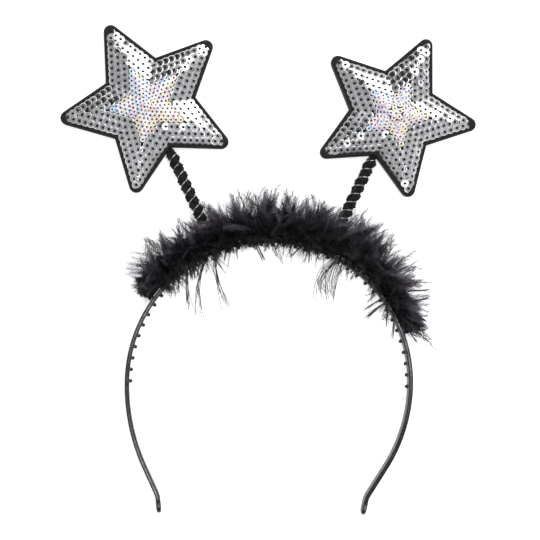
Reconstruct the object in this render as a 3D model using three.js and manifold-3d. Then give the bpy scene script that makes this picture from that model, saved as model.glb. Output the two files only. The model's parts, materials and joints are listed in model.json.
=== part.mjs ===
// A star bopper tiara: a toothed plastic headband with a feather trim along its crown and two padded,
// sequin-faced stars that sway on covered springs. It lies on its back as it would on a table, in
// millimetres: +X to the wearer's left as seen from the front, +Y towards the crown, +Z up to the front.
import * as THREE from "three";
import { mergeVertices } from "three/addons/utils/BufferGeometryUtils.js";
import Module from "manifold-3d";

const wasm = await Module();
wasm.setup();

// Driving dimensions, in millimetres and degrees.

// The moulded band: a half circle over the head, then a leg on each side that curves in to a turned-out tip.
const BAND = { archRadius: 68.6, thickness: 2.1, depth: 8, chamfer: 0.45, archSteps: 45 };
const LEGS = {
  left: { curveRadius: 95.6, curveTurn: 26.7, straight: 13.4, tipTurn: 19, tipLength: 6.4 },
  right: { curveRadius: 77.2, curveTurn: 30.2, straight: 15.6, tipTurn: 21, tipLength: 6.6 },
};
const KNEE = { length: 3.6, steps: 3 };
const LEG_STEPS = 8;
// How the section shrinks towards the very end of each tip, as shares of the band's own section.
const TIP_ROUNDING = [
  { along: 0, thickness: 1, depth: 1 },
  { along: 0.45, thickness: 1.08, depth: 0.9 },
  { along: 0.8, thickness: 1, depth: 0.72 },
  { along: 0.95, thickness: 0.72, depth: 0.5 },
  { along: 1, thickness: 0.36, depth: 0.26 },
];
// Grip teeth stand in one row on the inside of the arch, from its right end to just past its left end.
const TEETH = { count: 39, from: 0.6, to: 181.5 };
const TOOTH = { baseRadius: 0.95, neckRadius: 0.8, height: 1.6, sunk: 0.4, sides: 6 };

// The two springs and stars. base is where the spring stands on the arch, lean turns it from the radius
// there, starDistance runs from the arch's centreline to the star's middle, and turn is the star's own.
const ANTENNAS = {
  left: { base: 114.2, lean: 3.2, starDistance: 77.6, starScale: 1, turn: 2.4 },
  right: { base: 68.4, lean: -1.9, starDistance: 74.5, starScale: 0.945, turn: 0.9 },
};
const SPRING = { axisHeight: 3.9, outerRadius: 2.4, pitch: 4.44, seatGap: 0.35, stepsPerTurn: 7 };
const SPRING_WIRE = { radius: 0.28, coilRadius: 2.1, sides: 5 };
const SPRING_WRAP = { halfWidth: 1.85, halfThickness: 1.08, sides: 6 };
// Inside the star the spring is squeezed between the two panels.
const SQUEEZE = { share: 0.62, over: 4, depth: 7, clearance: 0.35 };

const STAR = { arms: 5, tipRadius: 47.3, notchRadius: 22.9, tipRounding: 3.4, tipSteps: 4 };
const STAR_BACK = { thickness: 2, edge: 0.35 };
const STAR_FRONT = { gap: 0.3, rimTop: 6.4, rimWidth: 2.2, padStep: 0.5, padRise: 6.4 };
// Rings of the padded face, from the sewn edge to its middle, as shares of the pad's half width.
const PAD_RINGS = [1, 0.86, 0.68, 0.48, 0.28, 0.1];

// The feather trim: a roll of dense down on a cord, glued along the outside of the arch, with locks.
const TRIM = { from: 22, to: 147, gap: 0.35, width: 12.5, height: 15, floorGap: 0.2, steps: 34, sides: 9 };
const LOCK = { sides: 4, halfWidth: 3.4, halfThickness: 1.1, rootSunk: 2.4 };
// A lock's outline from its root to its tip, like a leaf, as shares of its length and half width.
const LOCK_SECTIONS = [
  { along: 0, width: 0.8 },
  { along: 0.55, width: 1 },
  { along: 1, width: 0.1 },
];
// Ranks of locks round the roll: around is the direction across the roll (0 outward, 90 to the front),
// sweep leans a lock along the arch, and curl bends its end back towards the front.
const LOCK_RANKS = [
  { name: "floor", around: -14, count: 12, length: 8.5, sweep: 30, curl: 0 },
  { name: "crest", around: 16, count: 16, length: 10, sweep: -30, curl: 2 },
  { name: "shoulder", around: 44, count: 14, length: 9, sweep: 38, curl: 1 },
  { name: "front", around: 78, count: 12, length: 8, sweep: -54, curl: 0 },
  { name: "brow", around: 112, count: 10, length: 7.5, sweep: 58, curl: -1 },
];
const SPRING_HOLE_RADIUS = 3.2;

const MATERIALS = {
  plastic: new THREE.MeshStandardMaterial({ color: 0x17161a, roughness: 0.28, metalness: 0 }),
  feather: new THREE.MeshStandardMaterial({ color: 0x0d0c10, roughness: 0.85, metalness: 0 }),
  wire: new THREE.MeshStandardMaterial({ color: 0xd8d8da, roughness: 0.2, metalness: 1 }),
  chenille: new THREE.MeshStandardMaterial({ color: 0x1b1719, roughness: 0.9, metalness: 0 }),
  sequin: new THREE.MeshStandardMaterial({ color: 0xb9b9bb, roughness: 0.25, metalness: 1 }),
  felt: new THREE.MeshStandardMaterial({ color: 0x141315, roughness: 0.95, metalness: 0 }),
};

const radians = THREE.MathUtils.degToRad;

// Geometry helpers.

// A closed solid skinned through rings of equally many points, with a fan over each end.
function loft(rings) {
  const sides = rings[0].length;
  const middle = (ring) =>
    ring.reduce((sum, p) => sum.add(p), new THREE.Vector3()).divideScalar(sides);
  const points = [...rings.flat(), middle(rings[0]), middle(rings.at(-1))];
  const startHub = rings.length * sides;
  const endHub = startHub + 1;
  const index = [];
  for (let side = 0; side < sides; side++) {
    const next = (side + 1) % sides;
    for (let ring = 0; ring < rings.length - 1; ring++) {
      const low = ring * sides;
      const high = low + sides;
      index.push(low + side, low + next, high + next, low + side, high + next, high + side);
    }
    const last = startHub - sides;
    index.push(startHub, next, side, endHub, last + side, last + next);
  }
  const geometry = new THREE.BufferGeometry().setFromPoints(points);
  geometry.setIndex(index);
  return geometry;
}

function toSolid(geometry) {
  const bare = geometry.clone();
  bare.deleteAttribute("normal");
  bare.deleteAttribute("uv");
  const merged = mergeVertices(bare, 1e-4);
  const solid = new wasm.Manifold(
    new wasm.Mesh({
      numProp: 3,
      vertProperties: new Float32Array(merged.attributes.position.array),
      triVerts: new Uint32Array(merged.index.array),
    }),
  );
  return solid;
}

function toGeometry(solid) {
  const mesh = solid.getMesh();
  const geometry = new THREE.BufferGeometry();
  geometry.setAttribute("position", new THREE.BufferAttribute(mesh.vertProperties, 3));
  geometry.setIndex(new THREE.BufferAttribute(mesh.triVerts, 1));
  return geometry;
}

function namedMesh(name, geometry, material) {
  const mesh = new THREE.Mesh(geometry, material.clone());
  mesh.name = name;
  return mesh;
}

// A point on a circle about the arch's centre, at a height above the table.
function onCircle(radius, degrees, height = 0) {
  const angle = radians(degrees);
  return new THREE.Vector3(radius * Math.cos(angle), radius * Math.sin(angle), height);
}

// Headband.

// Stations down one leg from the end of the arch, as a place and the way that it heads, for the right side.
function legStations(leg) {
  const moves = [
    { length: radians(leg.curveTurn) * leg.curveRadius, turn: -leg.curveTurn, steps: LEG_STEPS },
    { length: leg.straight, turn: 0, steps: 1 },
    { length: KNEE.length, turn: leg.tipTurn, steps: KNEE.steps },
  ];
  const place = new THREE.Vector2(BAND.archRadius, 0);
  let heading = -90;
  const stations = [];
  const step = (length, turn, shares) => {
    heading += turn / 2;
    const way = new THREE.Vector2(Math.cos(radians(heading)), Math.sin(radians(heading)));
    place.addScaledVector(way, length);
    heading += turn / 2;
    stations.push({ place: place.clone(), heading, thickness: 1, depth: 1, ...shares });
  };
  for (const move of moves) {
    for (let i = 0; i < move.steps; i++) {
      step(move.length / move.steps, move.turn / move.steps, {});
    }
  }
  TIP_ROUNDING.slice(1).forEach((row, i) => {
    const { along, thickness, depth } = row;
    step((along - TIP_ROUNDING[i].along) * leg.tipLength, 0, { thickness, depth });
  });
  return stations;
}

// The band's section at a station: a chamfered strip standing on the table, its outer face first.
function bandRing({ place, heading, thickness, depth }, mirror) {
  const halfThickness = (BAND.thickness / 2) * thickness;
  const halfDepth = (BAND.depth / 2) * depth;
  const chamfer = BAND.chamfer * Math.min(thickness, depth);
  const outward = new THREE.Vector2(Math.cos(radians(heading + 90)), Math.sin(radians(heading + 90)));
  const section = [
    [halfThickness, chamfer - halfDepth],
    [halfThickness, halfDepth - chamfer],
    [halfThickness - chamfer, halfDepth],
    [chamfer - halfThickness, halfDepth],
    [-halfThickness, halfDepth - chamfer],
    [-halfThickness, chamfer - halfDepth],
    [chamfer - halfThickness, -halfDepth],
    [halfThickness - chamfer, -halfDepth],
  ];
  return section.map(([across, up]) => {
    const spot = place.clone().addScaledVector(outward, across);
    return new THREE.Vector3(mirror * spot.x, spot.y, BAND.depth / 2 + up);
  });
}

function bandBody() {
  const archStation = (degrees) => ({
    place: new THREE.Vector2(...onCircle(BAND.archRadius, degrees).toArray().slice(0, 2)),
    heading: degrees - 90,
    thickness: 1,
    depth: 1,
  });
  const arch = [];
  for (let i = 0; i <= BAND.archSteps; i++) {
    arch.push(bandRing(archStation(180 - (180 * i) / BAND.archSteps), 1));
  }
  const leftLeg = legStations(LEGS.left).map((station) => bandRing(station, -1));
  const rightLeg = legStations(LEGS.right).map((station) => bandRing(station, 1));
  return toSolid(loft([...leftLeg.reverse(), ...arch, ...rightLeg]));
}

function toothGeometry() {
  const { baseRadius, neckRadius, height, sunk, sides } = TOOTH;
  const profile = [
    [0, -sunk],
    [baseRadius, -sunk],
    [neckRadius, height * 0.7],
    [0, height],
  ].map(([radius, along]) => new THREE.Vector2(radius, along));
  return new THREE.LatheGeometry(profile, sides);
}

function headband() {
  let solid = bandBody();
  const innerRadius = BAND.archRadius - BAND.thickness / 2;
  for (let i = 0; i < TEETH.count; i++) {
    const degrees = THREE.MathUtils.lerp(TEETH.from, TEETH.to, i / (TEETH.count - 1));
    const spot = onCircle(innerRadius, degrees, BAND.depth / 2);
    const tooth = toothGeometry();
    tooth.rotateZ(radians(degrees + 90));
    tooth.translate(spot.x, spot.y, spot.z);
    solid = solid.add(toSolid(tooth));
  }
  return namedMesh("headband", toGeometry(solid), MATERIALS.plastic);
}

// Springs. Each is modelled along +Y of its antenna's own frame, whose origin is on the arch's centreline.

function springSpan(antenna) {
  const notch = antenna.starDistance - STAR.notchRadius * antenna.starScale;
  return {
    start: BAND.thickness / 2 + SPRING.seatGap + SPRING_WRAP.halfWidth,
    notch,
    end: notch + SQUEEZE.depth - SPRING_WRAP.halfWidth - SQUEEZE.clearance,
  };
}

// The share of its full radius that the spring has at a distance along its axis.
function squeezeAt(along, span) {
  const share = THREE.MathUtils.smoothstep(along, span.notch - SQUEEZE.over, span.notch - SPRING.pitch / 4);
  return 1 - share * (1 - SQUEEZE.share);
}

// Rings of a strand wound round +Y, of an oval section, starting half a pitch later for the second strand.
function coilRings(span, strand) {
  const turns = (span.end - span.start) / SPRING.pitch;
  const steps = Math.round(turns * SPRING.stepsPerTurn);
  const rings = [];
  for (let i = 0; i <= steps; i++) {
    const angle = ((i / steps) * turns + strand.lag) * 2 * Math.PI;
    const along = span.start + (i / steps) * (span.end - span.start);
    const squeeze = squeezeAt(along, span);
    const outward = new THREE.Vector3(Math.sin(angle), 0, Math.cos(angle));
    const ring = [];
    for (let side = 0; side < strand.sides; side++) {
      const around = (-side / strand.sides) * 2 * Math.PI;
      const reach = squeeze * (strand.coilRadius + strand.halfThickness * Math.cos(around));
      const spot = outward.clone().multiplyScalar(reach);
      spot.y = along + strand.halfWidth * Math.sin(around);
      ring.push(spot);
    }
    rings.push(ring);
  }
  return rings;
}

function springMeshes(side, antenna) {
  const span = springSpan(antenna);
  const wrap = {
    ...SPRING_WRAP,
    coilRadius: SPRING.outerRadius - SPRING_WRAP.halfThickness,
    lag: 0,
  };
  const { radius, coilRadius, sides } = SPRING_WIRE;
  const wire = { halfWidth: radius, halfThickness: radius, coilRadius, sides, lag: 0.5 };
  return [
    namedMesh(`${side}_spring_wrap`, loft(coilRings(span, wrap)), MATERIALS.chenille),
    namedMesh(`${side}_spring_wire`, loft(coilRings(span, wire)), MATERIALS.wire),
  ].map((mesh) => {
    mesh.position.z = SPRING.axisHeight;
    return mesh;
  });
}

// Stars. The outline is a five-armed star with round tips and sharp notches, one tip along +Y.

function starOutline(scale) {
  const half = Math.PI / STAR.arms;
  const tip = STAR.tipRadius * scale;
  const notch = STAR.notchRadius * scale;
  const round = STAR.tipRounding * scale;
  const tipHalfAngle = Math.atan2(notch * Math.sin(half), tip - notch * Math.cos(half));
  const roundCentre = tip - round / Math.sin(tipHalfAngle);
  const sweep = Math.PI / 2 - tipHalfAngle;
  const outline = [];
  for (let arm = 0; arm < STAR.arms; arm++) {
    const axis = Math.PI / 2 + 2 * half * arm;
    const centre = new THREE.Vector2(Math.cos(axis), Math.sin(axis)).multiplyScalar(roundCentre);
    for (let i = 0; i <= STAR.tipSteps; i++) {
      const angle = axis + sweep * ((2 * i) / STAR.tipSteps - 1);
      outline.push(new THREE.Vector2(Math.cos(angle), Math.sin(angle)).multiplyScalar(round).add(centre));
    }
    outline.push(new THREE.Vector2(Math.cos(axis + half), Math.sin(axis + half)).multiplyScalar(notch));
  }
  return outline;
}

// Half the width of the star's arms at their root, from its middle to an edge.
function starHalfWidth(scale) {
  const half = Math.PI / STAR.arms;
  const across = STAR.notchRadius * Math.sin(half);
  const along = STAR.tipRadius - STAR.notchRadius * Math.cos(half);
  return (scale * STAR.tipRadius * across) / Math.hypot(across, along);
}

function starRing(outline, share, height) {
  return outline.map((p) => new THREE.Vector3(p.x * share, p.y * share, height));
}

// The felt back that the star lies on, with its edges eased.
function starBack(scale) {
  const outline = starOutline(scale);
  const inset = 1 - STAR_BACK.edge / starHalfWidth(scale);
  return loft([
    starRing(outline, inset, 0),
    starRing(outline, 1, STAR_BACK.edge),
    starRing(outline, 1, STAR_BACK.thickness - STAR_BACK.edge),
    starRing(outline, inset, STAR_BACK.thickness),
  ]);
}

// The stuffed front: a black rim round a pad that rises to a ridge along each arm. A pocket takes the spring.
function starFront(scale, turn) {
  const outline = starOutline(scale);
  const padShare = 1 - STAR_FRONT.rimWidth / starHalfWidth(scale);
  const padFoot = STAR_FRONT.rimTop + STAR_FRONT.padStep;
  const padHeight = (ring) => padFoot + STAR_FRONT.padRise * Math.sin((Math.PI / 2) * (1 - ring));
  const body = loft([
    starRing(outline, 1, STAR_BACK.thickness + STAR_FRONT.gap),
    starRing(outline, 1, STAR_FRONT.rimTop),
    starRing(outline, padShare, STAR_FRONT.rimTop),
    ...PAD_RINGS.map((ring) => starRing(outline, padShare * ring * 0.995, padHeight(ring))),
  ]);
  body.rotateZ(radians(turn));
  const pocketRadius = SPRING.outerRadius * SQUEEZE.share + SQUEEZE.clearance;
  const pocket = new THREE.CylinderGeometry(pocketRadius, pocketRadius, 2 * SQUEEZE.depth, 14);
  pocket.translate(0, -STAR.notchRadius * scale, SPRING.axisHeight);
  return toGeometry(toSolid(body).subtract(toSolid(pocket)));
}

function starMeshes(side, antenna) {
  const { starScale, turn, starDistance } = antenna;
  const back = starBack(starScale).rotateZ(radians(turn));
  return [
    namedMesh(`${side}_star_back`, back, MATERIALS.felt),
    namedMesh(`${side}_star_front`, starFront(starScale, turn), MATERIALS.sequin),
  ].map((mesh) => {
    mesh.position.y = starDistance;
    return mesh;
  });
}

function placeAntenna(object, antenna) {
  const foot = onCircle(BAND.archRadius, antenna.base);
  object.position.set(foot.x, foot.y, 0);
  object.rotation.z = radians(antenna.base + antenna.lean - 90);
  object.updateMatrixWorld();
  return object;
}

function antennaGroup(side) {
  const antenna = ANTENNAS[side];
  const group = placeAntenna(new THREE.Group(), antenna);
  group.add(...springMeshes(side, antenna), ...starMeshes(side, antenna));
  return group;
}

// Feather trim.

const TRIM_RADIUS = BAND.archRadius + BAND.thickness / 2 + TRIM.gap + TRIM.width / 2;

// The roll swells and thins a little along its length, and closes at both ends.
function rollShare(along) {
  const ends = Math.min(1, Math.sqrt(Math.sin(Math.PI * along)) * 1.7);
  const ripple = 1 - 0.06 * (1 + Math.sin(along * 37));
  return Math.max(0.2, ends * ripple);
}

// A point on the roll's skin, flattened where it lies on the table. The inner side keeps off the band.
function onRoll(along, around, share = 1) {
  const degrees = TRIM.from + along * (TRIM.to - TRIM.from);
  const angle = radians(around);
  const halfHeight = (TRIM.height / 2) * rollShare(along);
  const outward = (TRIM.width / 2) * share * Math.cos(angle) * (Math.cos(angle) > 0 ? rollShare(along) : 1);
  const height = Math.max(TRIM.floorGap, BAND.depth / 2 + 2 + halfHeight * share * Math.sin(angle));
  return onCircle(TRIM_RADIUS + outward, degrees, height);
}

function trimRoll() {
  const rings = [];
  for (let i = 0; i <= TRIM.steps; i++) {
    const ring = [];
    for (let side = 0; side < TRIM.sides; side++) {
      ring.push(onRoll(i / TRIM.steps, (-360 * side) / TRIM.sides));
    }
    rings.push(ring);
  }
  return toSolid(loft(rings));
}

// One lock: a flat, tapering strand of down from inside the roll to its tip.
function lockGeometry(along, rank, serial) {
  const vary = Math.sin(serial * 2.4);
  const degrees = TRIM.from + along * (TRIM.to - TRIM.from);
  const around = radians(rank.around + 9 * vary);
  const radial = onCircle(1, degrees);
  const forward = onCircle(1, degrees + 90);
  const up = new THREE.Vector3(0, 0, 1);
  const out = radial.clone().multiplyScalar(Math.cos(around)).addScaledVector(up, Math.sin(around));
  const lean = radians(rank.sweep * (1 + 0.8 * vary));
  const aim = out.clone().multiplyScalar(Math.cos(lean)).addScaledVector(forward, Math.sin(lean));
  const root = onRoll(along, rank.around + 9 * vary).addScaledVector(out, -LOCK.rootSunk);
  const reach = LOCK.rootSunk + rank.length * (1 + 0.3 * Math.sin(serial * 5.3));
  const wide = forward.clone().cross(aim).cross(aim).normalize();
  const thin = aim.clone().cross(wide);
  const rings = LOCK_SECTIONS.map((section) => {
    const centre = root.clone().addScaledVector(aim, reach * section.along);
    centre.addScaledVector(up, rank.curl * section.along ** 2);
    const ring = [];
    for (let side = 0; side < LOCK.sides; side++) {
      const angle = (side / LOCK.sides) * 2 * Math.PI;
      const spot = centre.clone().addScaledVector(wide, LOCK.halfWidth * section.width * Math.cos(angle));
      spot.addScaledVector(thin, LOCK.halfThickness * section.width * Math.sin(angle));
      spot.z = Math.max(TRIM.floorGap, spot.z);
      ring.push(spot);
    }
    return ring;
  });
  return loft(rings);
}

function largestPiece(solid) {
  return solid.decompose().reduce((best, piece) => (piece.volume() > best.volume() ? piece : best));
}

function featherTrim() {
  let solid = trimRoll();
  let serial = 0;
  for (const rank of LOCK_RANKS) {
    for (let i = 0; i < rank.count; i++) {
      serial += 1;
      solid = solid.add(toSolid(lockGeometry((i + 0.5) / rank.count, rank, serial)));
    }
  }
  for (const antenna of Object.values(ANTENNAS)) {
    const reach = 2 * antenna.starDistance;
    const hole = new THREE.CylinderGeometry(SPRING_HOLE_RADIUS, SPRING_HOLE_RADIUS, reach, 12);
    hole.translate(0, 0, SPRING.axisHeight);
    const placed = placeAntenna(new THREE.Group(), antenna);
    solid = solid.subtract(toSolid(hole.applyMatrix4(placed.matrixWorld)));
  }
  return namedMesh("feather_trim", toGeometry(largestPiece(solid)), MATERIALS.feather);
}

// Assembly, with its origin on the table under the middle of the outline.
const tiara = new THREE.Group();
tiara.add(headband(), featherTrim(), antennaGroup("left"), antennaGroup("right"));
const outlineMiddle = new THREE.Box3().setFromObject(tiara, true).getCenter(new THREE.Vector3());
tiara.position.set(-outlineMiddle.x, -outlineMiddle.y, 0);

export default tiara;
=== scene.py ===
# A star bopper tiara lying on its back: a toothed plastic headband, a black down trim glued along its crown,
# and two padded stars faced with sequins that sway on covered springs. Each section dresses one piece.
import json
import math

import bmesh
import bpy
import numpy as np
from mathutils import Matrix, Vector, noise
from mathutils.bvhtree import BVHTree


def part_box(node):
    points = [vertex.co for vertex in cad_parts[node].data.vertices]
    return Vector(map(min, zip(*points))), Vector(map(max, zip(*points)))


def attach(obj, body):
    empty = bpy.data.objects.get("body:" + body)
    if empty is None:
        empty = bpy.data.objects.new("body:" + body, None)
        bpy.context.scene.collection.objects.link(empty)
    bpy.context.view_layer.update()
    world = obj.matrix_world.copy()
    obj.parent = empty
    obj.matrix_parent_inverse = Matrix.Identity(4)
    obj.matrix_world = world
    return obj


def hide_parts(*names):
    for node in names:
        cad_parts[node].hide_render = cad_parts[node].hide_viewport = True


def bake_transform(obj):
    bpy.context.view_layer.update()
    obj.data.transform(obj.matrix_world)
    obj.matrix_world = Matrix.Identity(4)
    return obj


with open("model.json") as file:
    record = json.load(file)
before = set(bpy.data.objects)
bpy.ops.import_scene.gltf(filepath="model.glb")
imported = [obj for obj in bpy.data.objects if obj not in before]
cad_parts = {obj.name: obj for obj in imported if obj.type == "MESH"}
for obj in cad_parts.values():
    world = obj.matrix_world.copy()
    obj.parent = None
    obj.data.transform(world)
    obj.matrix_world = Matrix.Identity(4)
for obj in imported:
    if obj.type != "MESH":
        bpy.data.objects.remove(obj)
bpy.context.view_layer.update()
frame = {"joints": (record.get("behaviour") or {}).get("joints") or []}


# Headband
# One injection-moulded strip of glossy black plastic that stands on edge: a half circle over the crown, and
# two legs that close in towards the ears and kick out at the tips. The mould rounds its long edges.
MM = 0.001
BAND_THICKNESS = 2.1 * MM
BAND_DEPTH = 8 * MM
BAND_EDGE_ROUNDING = 0.52 * MM
LEGS = (
    {"side": 1, "curve": 77.2 * MM, "turn": 30.2, "straight": 15.6 * MM, "kick": 21, "tip": 6.6 * MM},
    {"side": -1, "curve": 95.6 * MM, "turn": 26.7, "straight": 13.4 * MM, "kick": 19, "tip": 6.4 * MM},
)
KNEE_LENGTH = 3.6 * MM
ARCH_STEPS, LEG_STEPS, KNEE_STEPS = 120, 30, 8
EDGE_SEGMENTS = FLAT_CUTS = 4
# A face whose normal rises less than this share stands on edge.
UPRIGHT_LIMIT = 0.3
# How the strip's section changes along a tip, as shares of the tip's length and of the strip's own section.
TIP_SHAPE = (
    {"along": 0.25, "thickness": 1.06, "depth": 0.97},
    {"along": 0.45, "thickness": 1.08, "depth": 0.90},
    {"along": 0.65, "thickness": 1.06, "depth": 0.82},
    {"along": 0.80, "thickness": 1.00, "depth": 0.72},
    {"along": 0.95, "thickness": 0.72, "depth": 0.50},
    {"along": 1.00, "thickness": 0.36, "depth": 0.26},
)

band_low, band_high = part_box("headband")
arch_outer = (band_high.x - band_low.x) / 2
arch_inner = arch_outer - BAND_THICKNESS
arch_radius = arch_outer - BAND_THICKNESS / 2
arch_centre = Vector(((band_low.x + band_high.x) / 2, band_high.y - arch_outer, 0))


def on_arch(radius, degrees, height):
    """A point on a circle about the arch's centre, at a height above the table."""
    angle = math.radians(degrees)
    return arch_centre + Vector((radius * math.cos(angle), radius * math.sin(angle), height))


def only(kind, geometry):
    """The vertices or edges among the elements that an operator made."""
    return [element for element in geometry if isinstance(element, kind)]


def draw_out(shape, edges, move):
    """Extrudes a loop of edges by a move, and returns the new loop's edges and vertices."""
    made = bmesh.ops.extrude_edge_only(shape, edges=edges)["geom"]
    ends = only(bmesh.types.BMVert, made)
    bmesh.ops.translate(shape, verts=ends, vec=move)
    fresh = set(ends)
    return [edge for edge in only(bmesh.types.BMEdge, made) if fresh.issuperset(edge.verts)], ends


def swing(shape, geometry, middle, angle, steps):
    """Spins geometry about an upright axis, and returns where it ends."""
    spun = bmesh.ops.spin(shape, geom=geometry, cent=middle, axis=(0, 0, 1), angle=angle, steps=steps)
    return spun["geom_last"]


def middle_of(vertices):
    return sum((vertex.co for vertex in vertices), Vector()) / len(vertices)


def show(name, mesh, material, crease=55):
    """A finished piece at the origin, shaded smooth apart from edges sharper than an angle."""
    mesh.name = name
    mesh.materials.append(material)
    mesh.shade_smooth()
    mesh.set_sharp_from_angle(angle=math.radians(crease))
    piece = bpy.data.objects.new(name, mesh)
    bpy.context.scene.collection.objects.link(piece)
    return piece


def to_mesh(shape):
    """Closes a shape's work: its faces are turned outwards and it becomes a mesh."""
    bmesh.ops.recalc_face_normals(shape, faces=shape.faces)
    mesh = bpy.data.meshes.new("shape")
    shape.to_mesh(mesh)
    shape.free()
    return mesh


strip = bmesh.new()
corners = []
for across, up in ((-0.5, 0), (0.5, 0), (0.5, 1), (-0.5, 1)):
    corners.append(strip.verts.new(on_arch(arch_radius + across * BAND_THICKNESS, 0, up * BAND_DEPTH)))
strip.faces.new(corners)
bmesh.ops.bevel(
    strip,
    geom=corners,
    offset=BAND_EDGE_ROUNDING,
    segments=EDGE_SEGMENTS,
    profile=0.5,
    affect="VERTICES",
    material=-1,
)
flats = [edge for edge in strip.edges if edge.calc_length() > BAND_EDGE_ROUNDING]
bmesh.ops.subdivide_edges(strip, edges=flats, cuts=FLAT_CUTS)
bmesh.ops.delete(strip, geom=strip.faces[:], context="FACES_ONLY")
right_end = strip.verts[:] + strip.edges[:]
left_end = swing(strip, right_end, arch_centre, math.pi, ARCH_STEPS)
for leg, arch_end in zip(LEGS, (right_end, left_end)):
    side = leg["side"]
    curve_centre = arch_centre + Vector((side * (arch_radius - leg["curve"]), 0, 0))
    turn = -side * math.radians(leg["turn"])
    curved = swing(strip, arch_end, curve_centre, turn, LEG_STEPS)
    heading = Matrix.Rotation(turn, 3, "Z") @ Vector((0, -1, 0))
    loop, ends = draw_out(strip, only(bmesh.types.BMEdge, curved), heading * leg["straight"])
    kick = side * math.radians(leg["kick"])
    outward = Matrix.Rotation(side * math.pi / 2, 3, "Z") @ heading
    knee_centre = middle_of(ends) + outward * KNEE_LENGTH / abs(kick)
    loop = only(bmesh.types.BMEdge, swing(strip, loop + ends, knee_centre, kick, KNEE_STEPS))
    heading = Matrix.Rotation(kick, 3, "Z") @ heading
    reached = {"along": 0, "thickness": 1, "depth": 1}
    for row in TIP_SHAPE:
        loop, ends = draw_out(strip, loop, heading * leg["tip"] * (row["along"] - reached["along"]))
        squeeze = (row["thickness"] / reached["thickness"], 1, row["depth"] / reached["depth"])
        facing = Matrix.Rotation(math.atan2(heading.y, heading.x) + math.pi / 2, 4, "Z")
        to_section = (Matrix.Translation(middle_of(ends)) @ facing).inverted()
        bmesh.ops.scale(strip, vec=squeeze, space=to_section, verts=ends)
        reached = row
    bmesh.ops.edgeloop_fill(strip, edges=loop)


def new_material(name):
    """A material with its node tree, ready for its own nodes."""
    material = bpy.data.materials.new(name)
    material.use_nodes = True
    return material, material.node_tree, material.node_tree.nodes["Principled BSDF"]


def feed(tree, socket, value):
    """Sets a socket by value, or links it from another node's output."""
    if isinstance(value, bpy.types.NodeSocket):
        tree.links.new(value, socket)
    else:
        socket.default_value = value


def set_inputs(tree, node, **values):
    """Feeds a node's input sockets by their names."""
    for name, value in values.items():
        feed(tree, node.inputs[name.replace("_", " ")], value)


def add_node(tree, kind, settings=None, **values):
    """A node with its settings and its inputs."""
    node = tree.nodes.new(kind)
    for name, value in (settings or {}).items():
        setattr(node, name, value)
    set_inputs(tree, node, **values)
    return node


def object_place(tree):
    return add_node(tree, "ShaderNodeTexCoord").outputs["Object"]


def speckle(tree, place, scale, detail, roughness=0.5):
    """A fine random value over a place."""
    sizes = {"Scale": scale, "Detail": detail, "Roughness": roughness}
    return add_node(tree, "ShaderNodeTexNoise", Vector=place, **sizes).outputs["Fac"]


def rescale(tree, value, start, end, low=0.0, high=1.0, kind="LINEAR"):
    """A value moved from one range to another."""
    node = add_node(tree, "ShaderNodeMapRange", {"interpolation_type": kind}, Value=value)
    set_inputs(tree, node, From_Min=start, From_Max=end, To_Min=low, To_Max=high)
    return node.outputs["Result"]


def colour_ramp(tree, share, *stops):
    """A colour that runs through stops, each a position and a colour, by a share."""
    node = add_node(tree, "ShaderNodeValToRGB", Fac=share)
    marks = node.color_ramp.elements
    for position, colour in stops[1:-1]:
        marks.new(position).color = (*colour, 1)
    for mark, (position, colour) in ((marks[0], stops[0]), (marks[-1], stops[-1])):
        mark.position = position
        mark.color = (*colour, 1)
    return node.outputs["Color"]


def relief(tree, height, strength, depth):
    """A normal that follows a height."""
    bump = add_node(tree, "ShaderNodeBump", Height=height, Strength=strength, Distance=depth)
    return bump.outputs["Normal"]


def new_group(name, inputs, outputs):
    """An empty node group with named sockets, and its two end nodes."""
    group = bpy.data.node_groups.new(name, "ShaderNodeTree")
    for label, kind, value in inputs:
        group.interface.new_socket(label, in_out="INPUT", socket_type=kind).default_value = value
    for label, kind in outputs:
        group.interface.new_socket(label, in_out="OUTPUT", socket_type=kind)
    return group, group.nodes.new("NodeGroupInput"), group.nodes.new("NodeGroupOutput")


# Fingered haze: a value that drifts between two limits over a smooth surface.
haze, haze_in, haze_out = new_group(
    "handling_haze",
    (("Scale", "NodeSocketFloat", 300.0), ("Low", "NodeSocketFloat", 0.2), ("High", "NodeSocketFloat", 0.3)),
    (("Value", "NodeSocketFloat"),),
)
haze_drift = speckle(haze, object_place(haze), haze_in.outputs["Scale"], 5.0)
haze_limits = haze_in.outputs["Low"], haze_in.outputs["High"]
set_inputs(haze, haze_out, Value=rescale(haze, haze_drift, 0.3, 0.7, *haze_limits))


def add_group(tree, group, **values):
    return add_node(tree, "ShaderNodeGroup", {"node_tree": group}, **values)


band_plastic, tree, surface = new_material("moulded_black_plastic")
place = object_place(tree)
# Flow lines run along the strip, so they change only with the height across it.
stretch = add_node(tree, "ShaderNodeMapping", Vector=place, Scale=(60, 60, 5200))
flow = speckle(tree, stretch.outputs["Vector"], 1.0, 3.0)
dust = speckle(tree, place, 900.0, 6.0, 0.7)
gloss = add_group(tree, haze, Scale=240.0, Low=0.08, High=0.18)
set_inputs(
    tree,
    surface,
    Base_Color=colour_ramp(tree, dust, (0.45, (0.01, 0.0098, 0.011)), (0.8, (0.024, 0.0235, 0.025))),
    Roughness=gloss.outputs["Value"],
    Normal=relief(tree, flow, 0.04, 0.0002),
)

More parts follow.
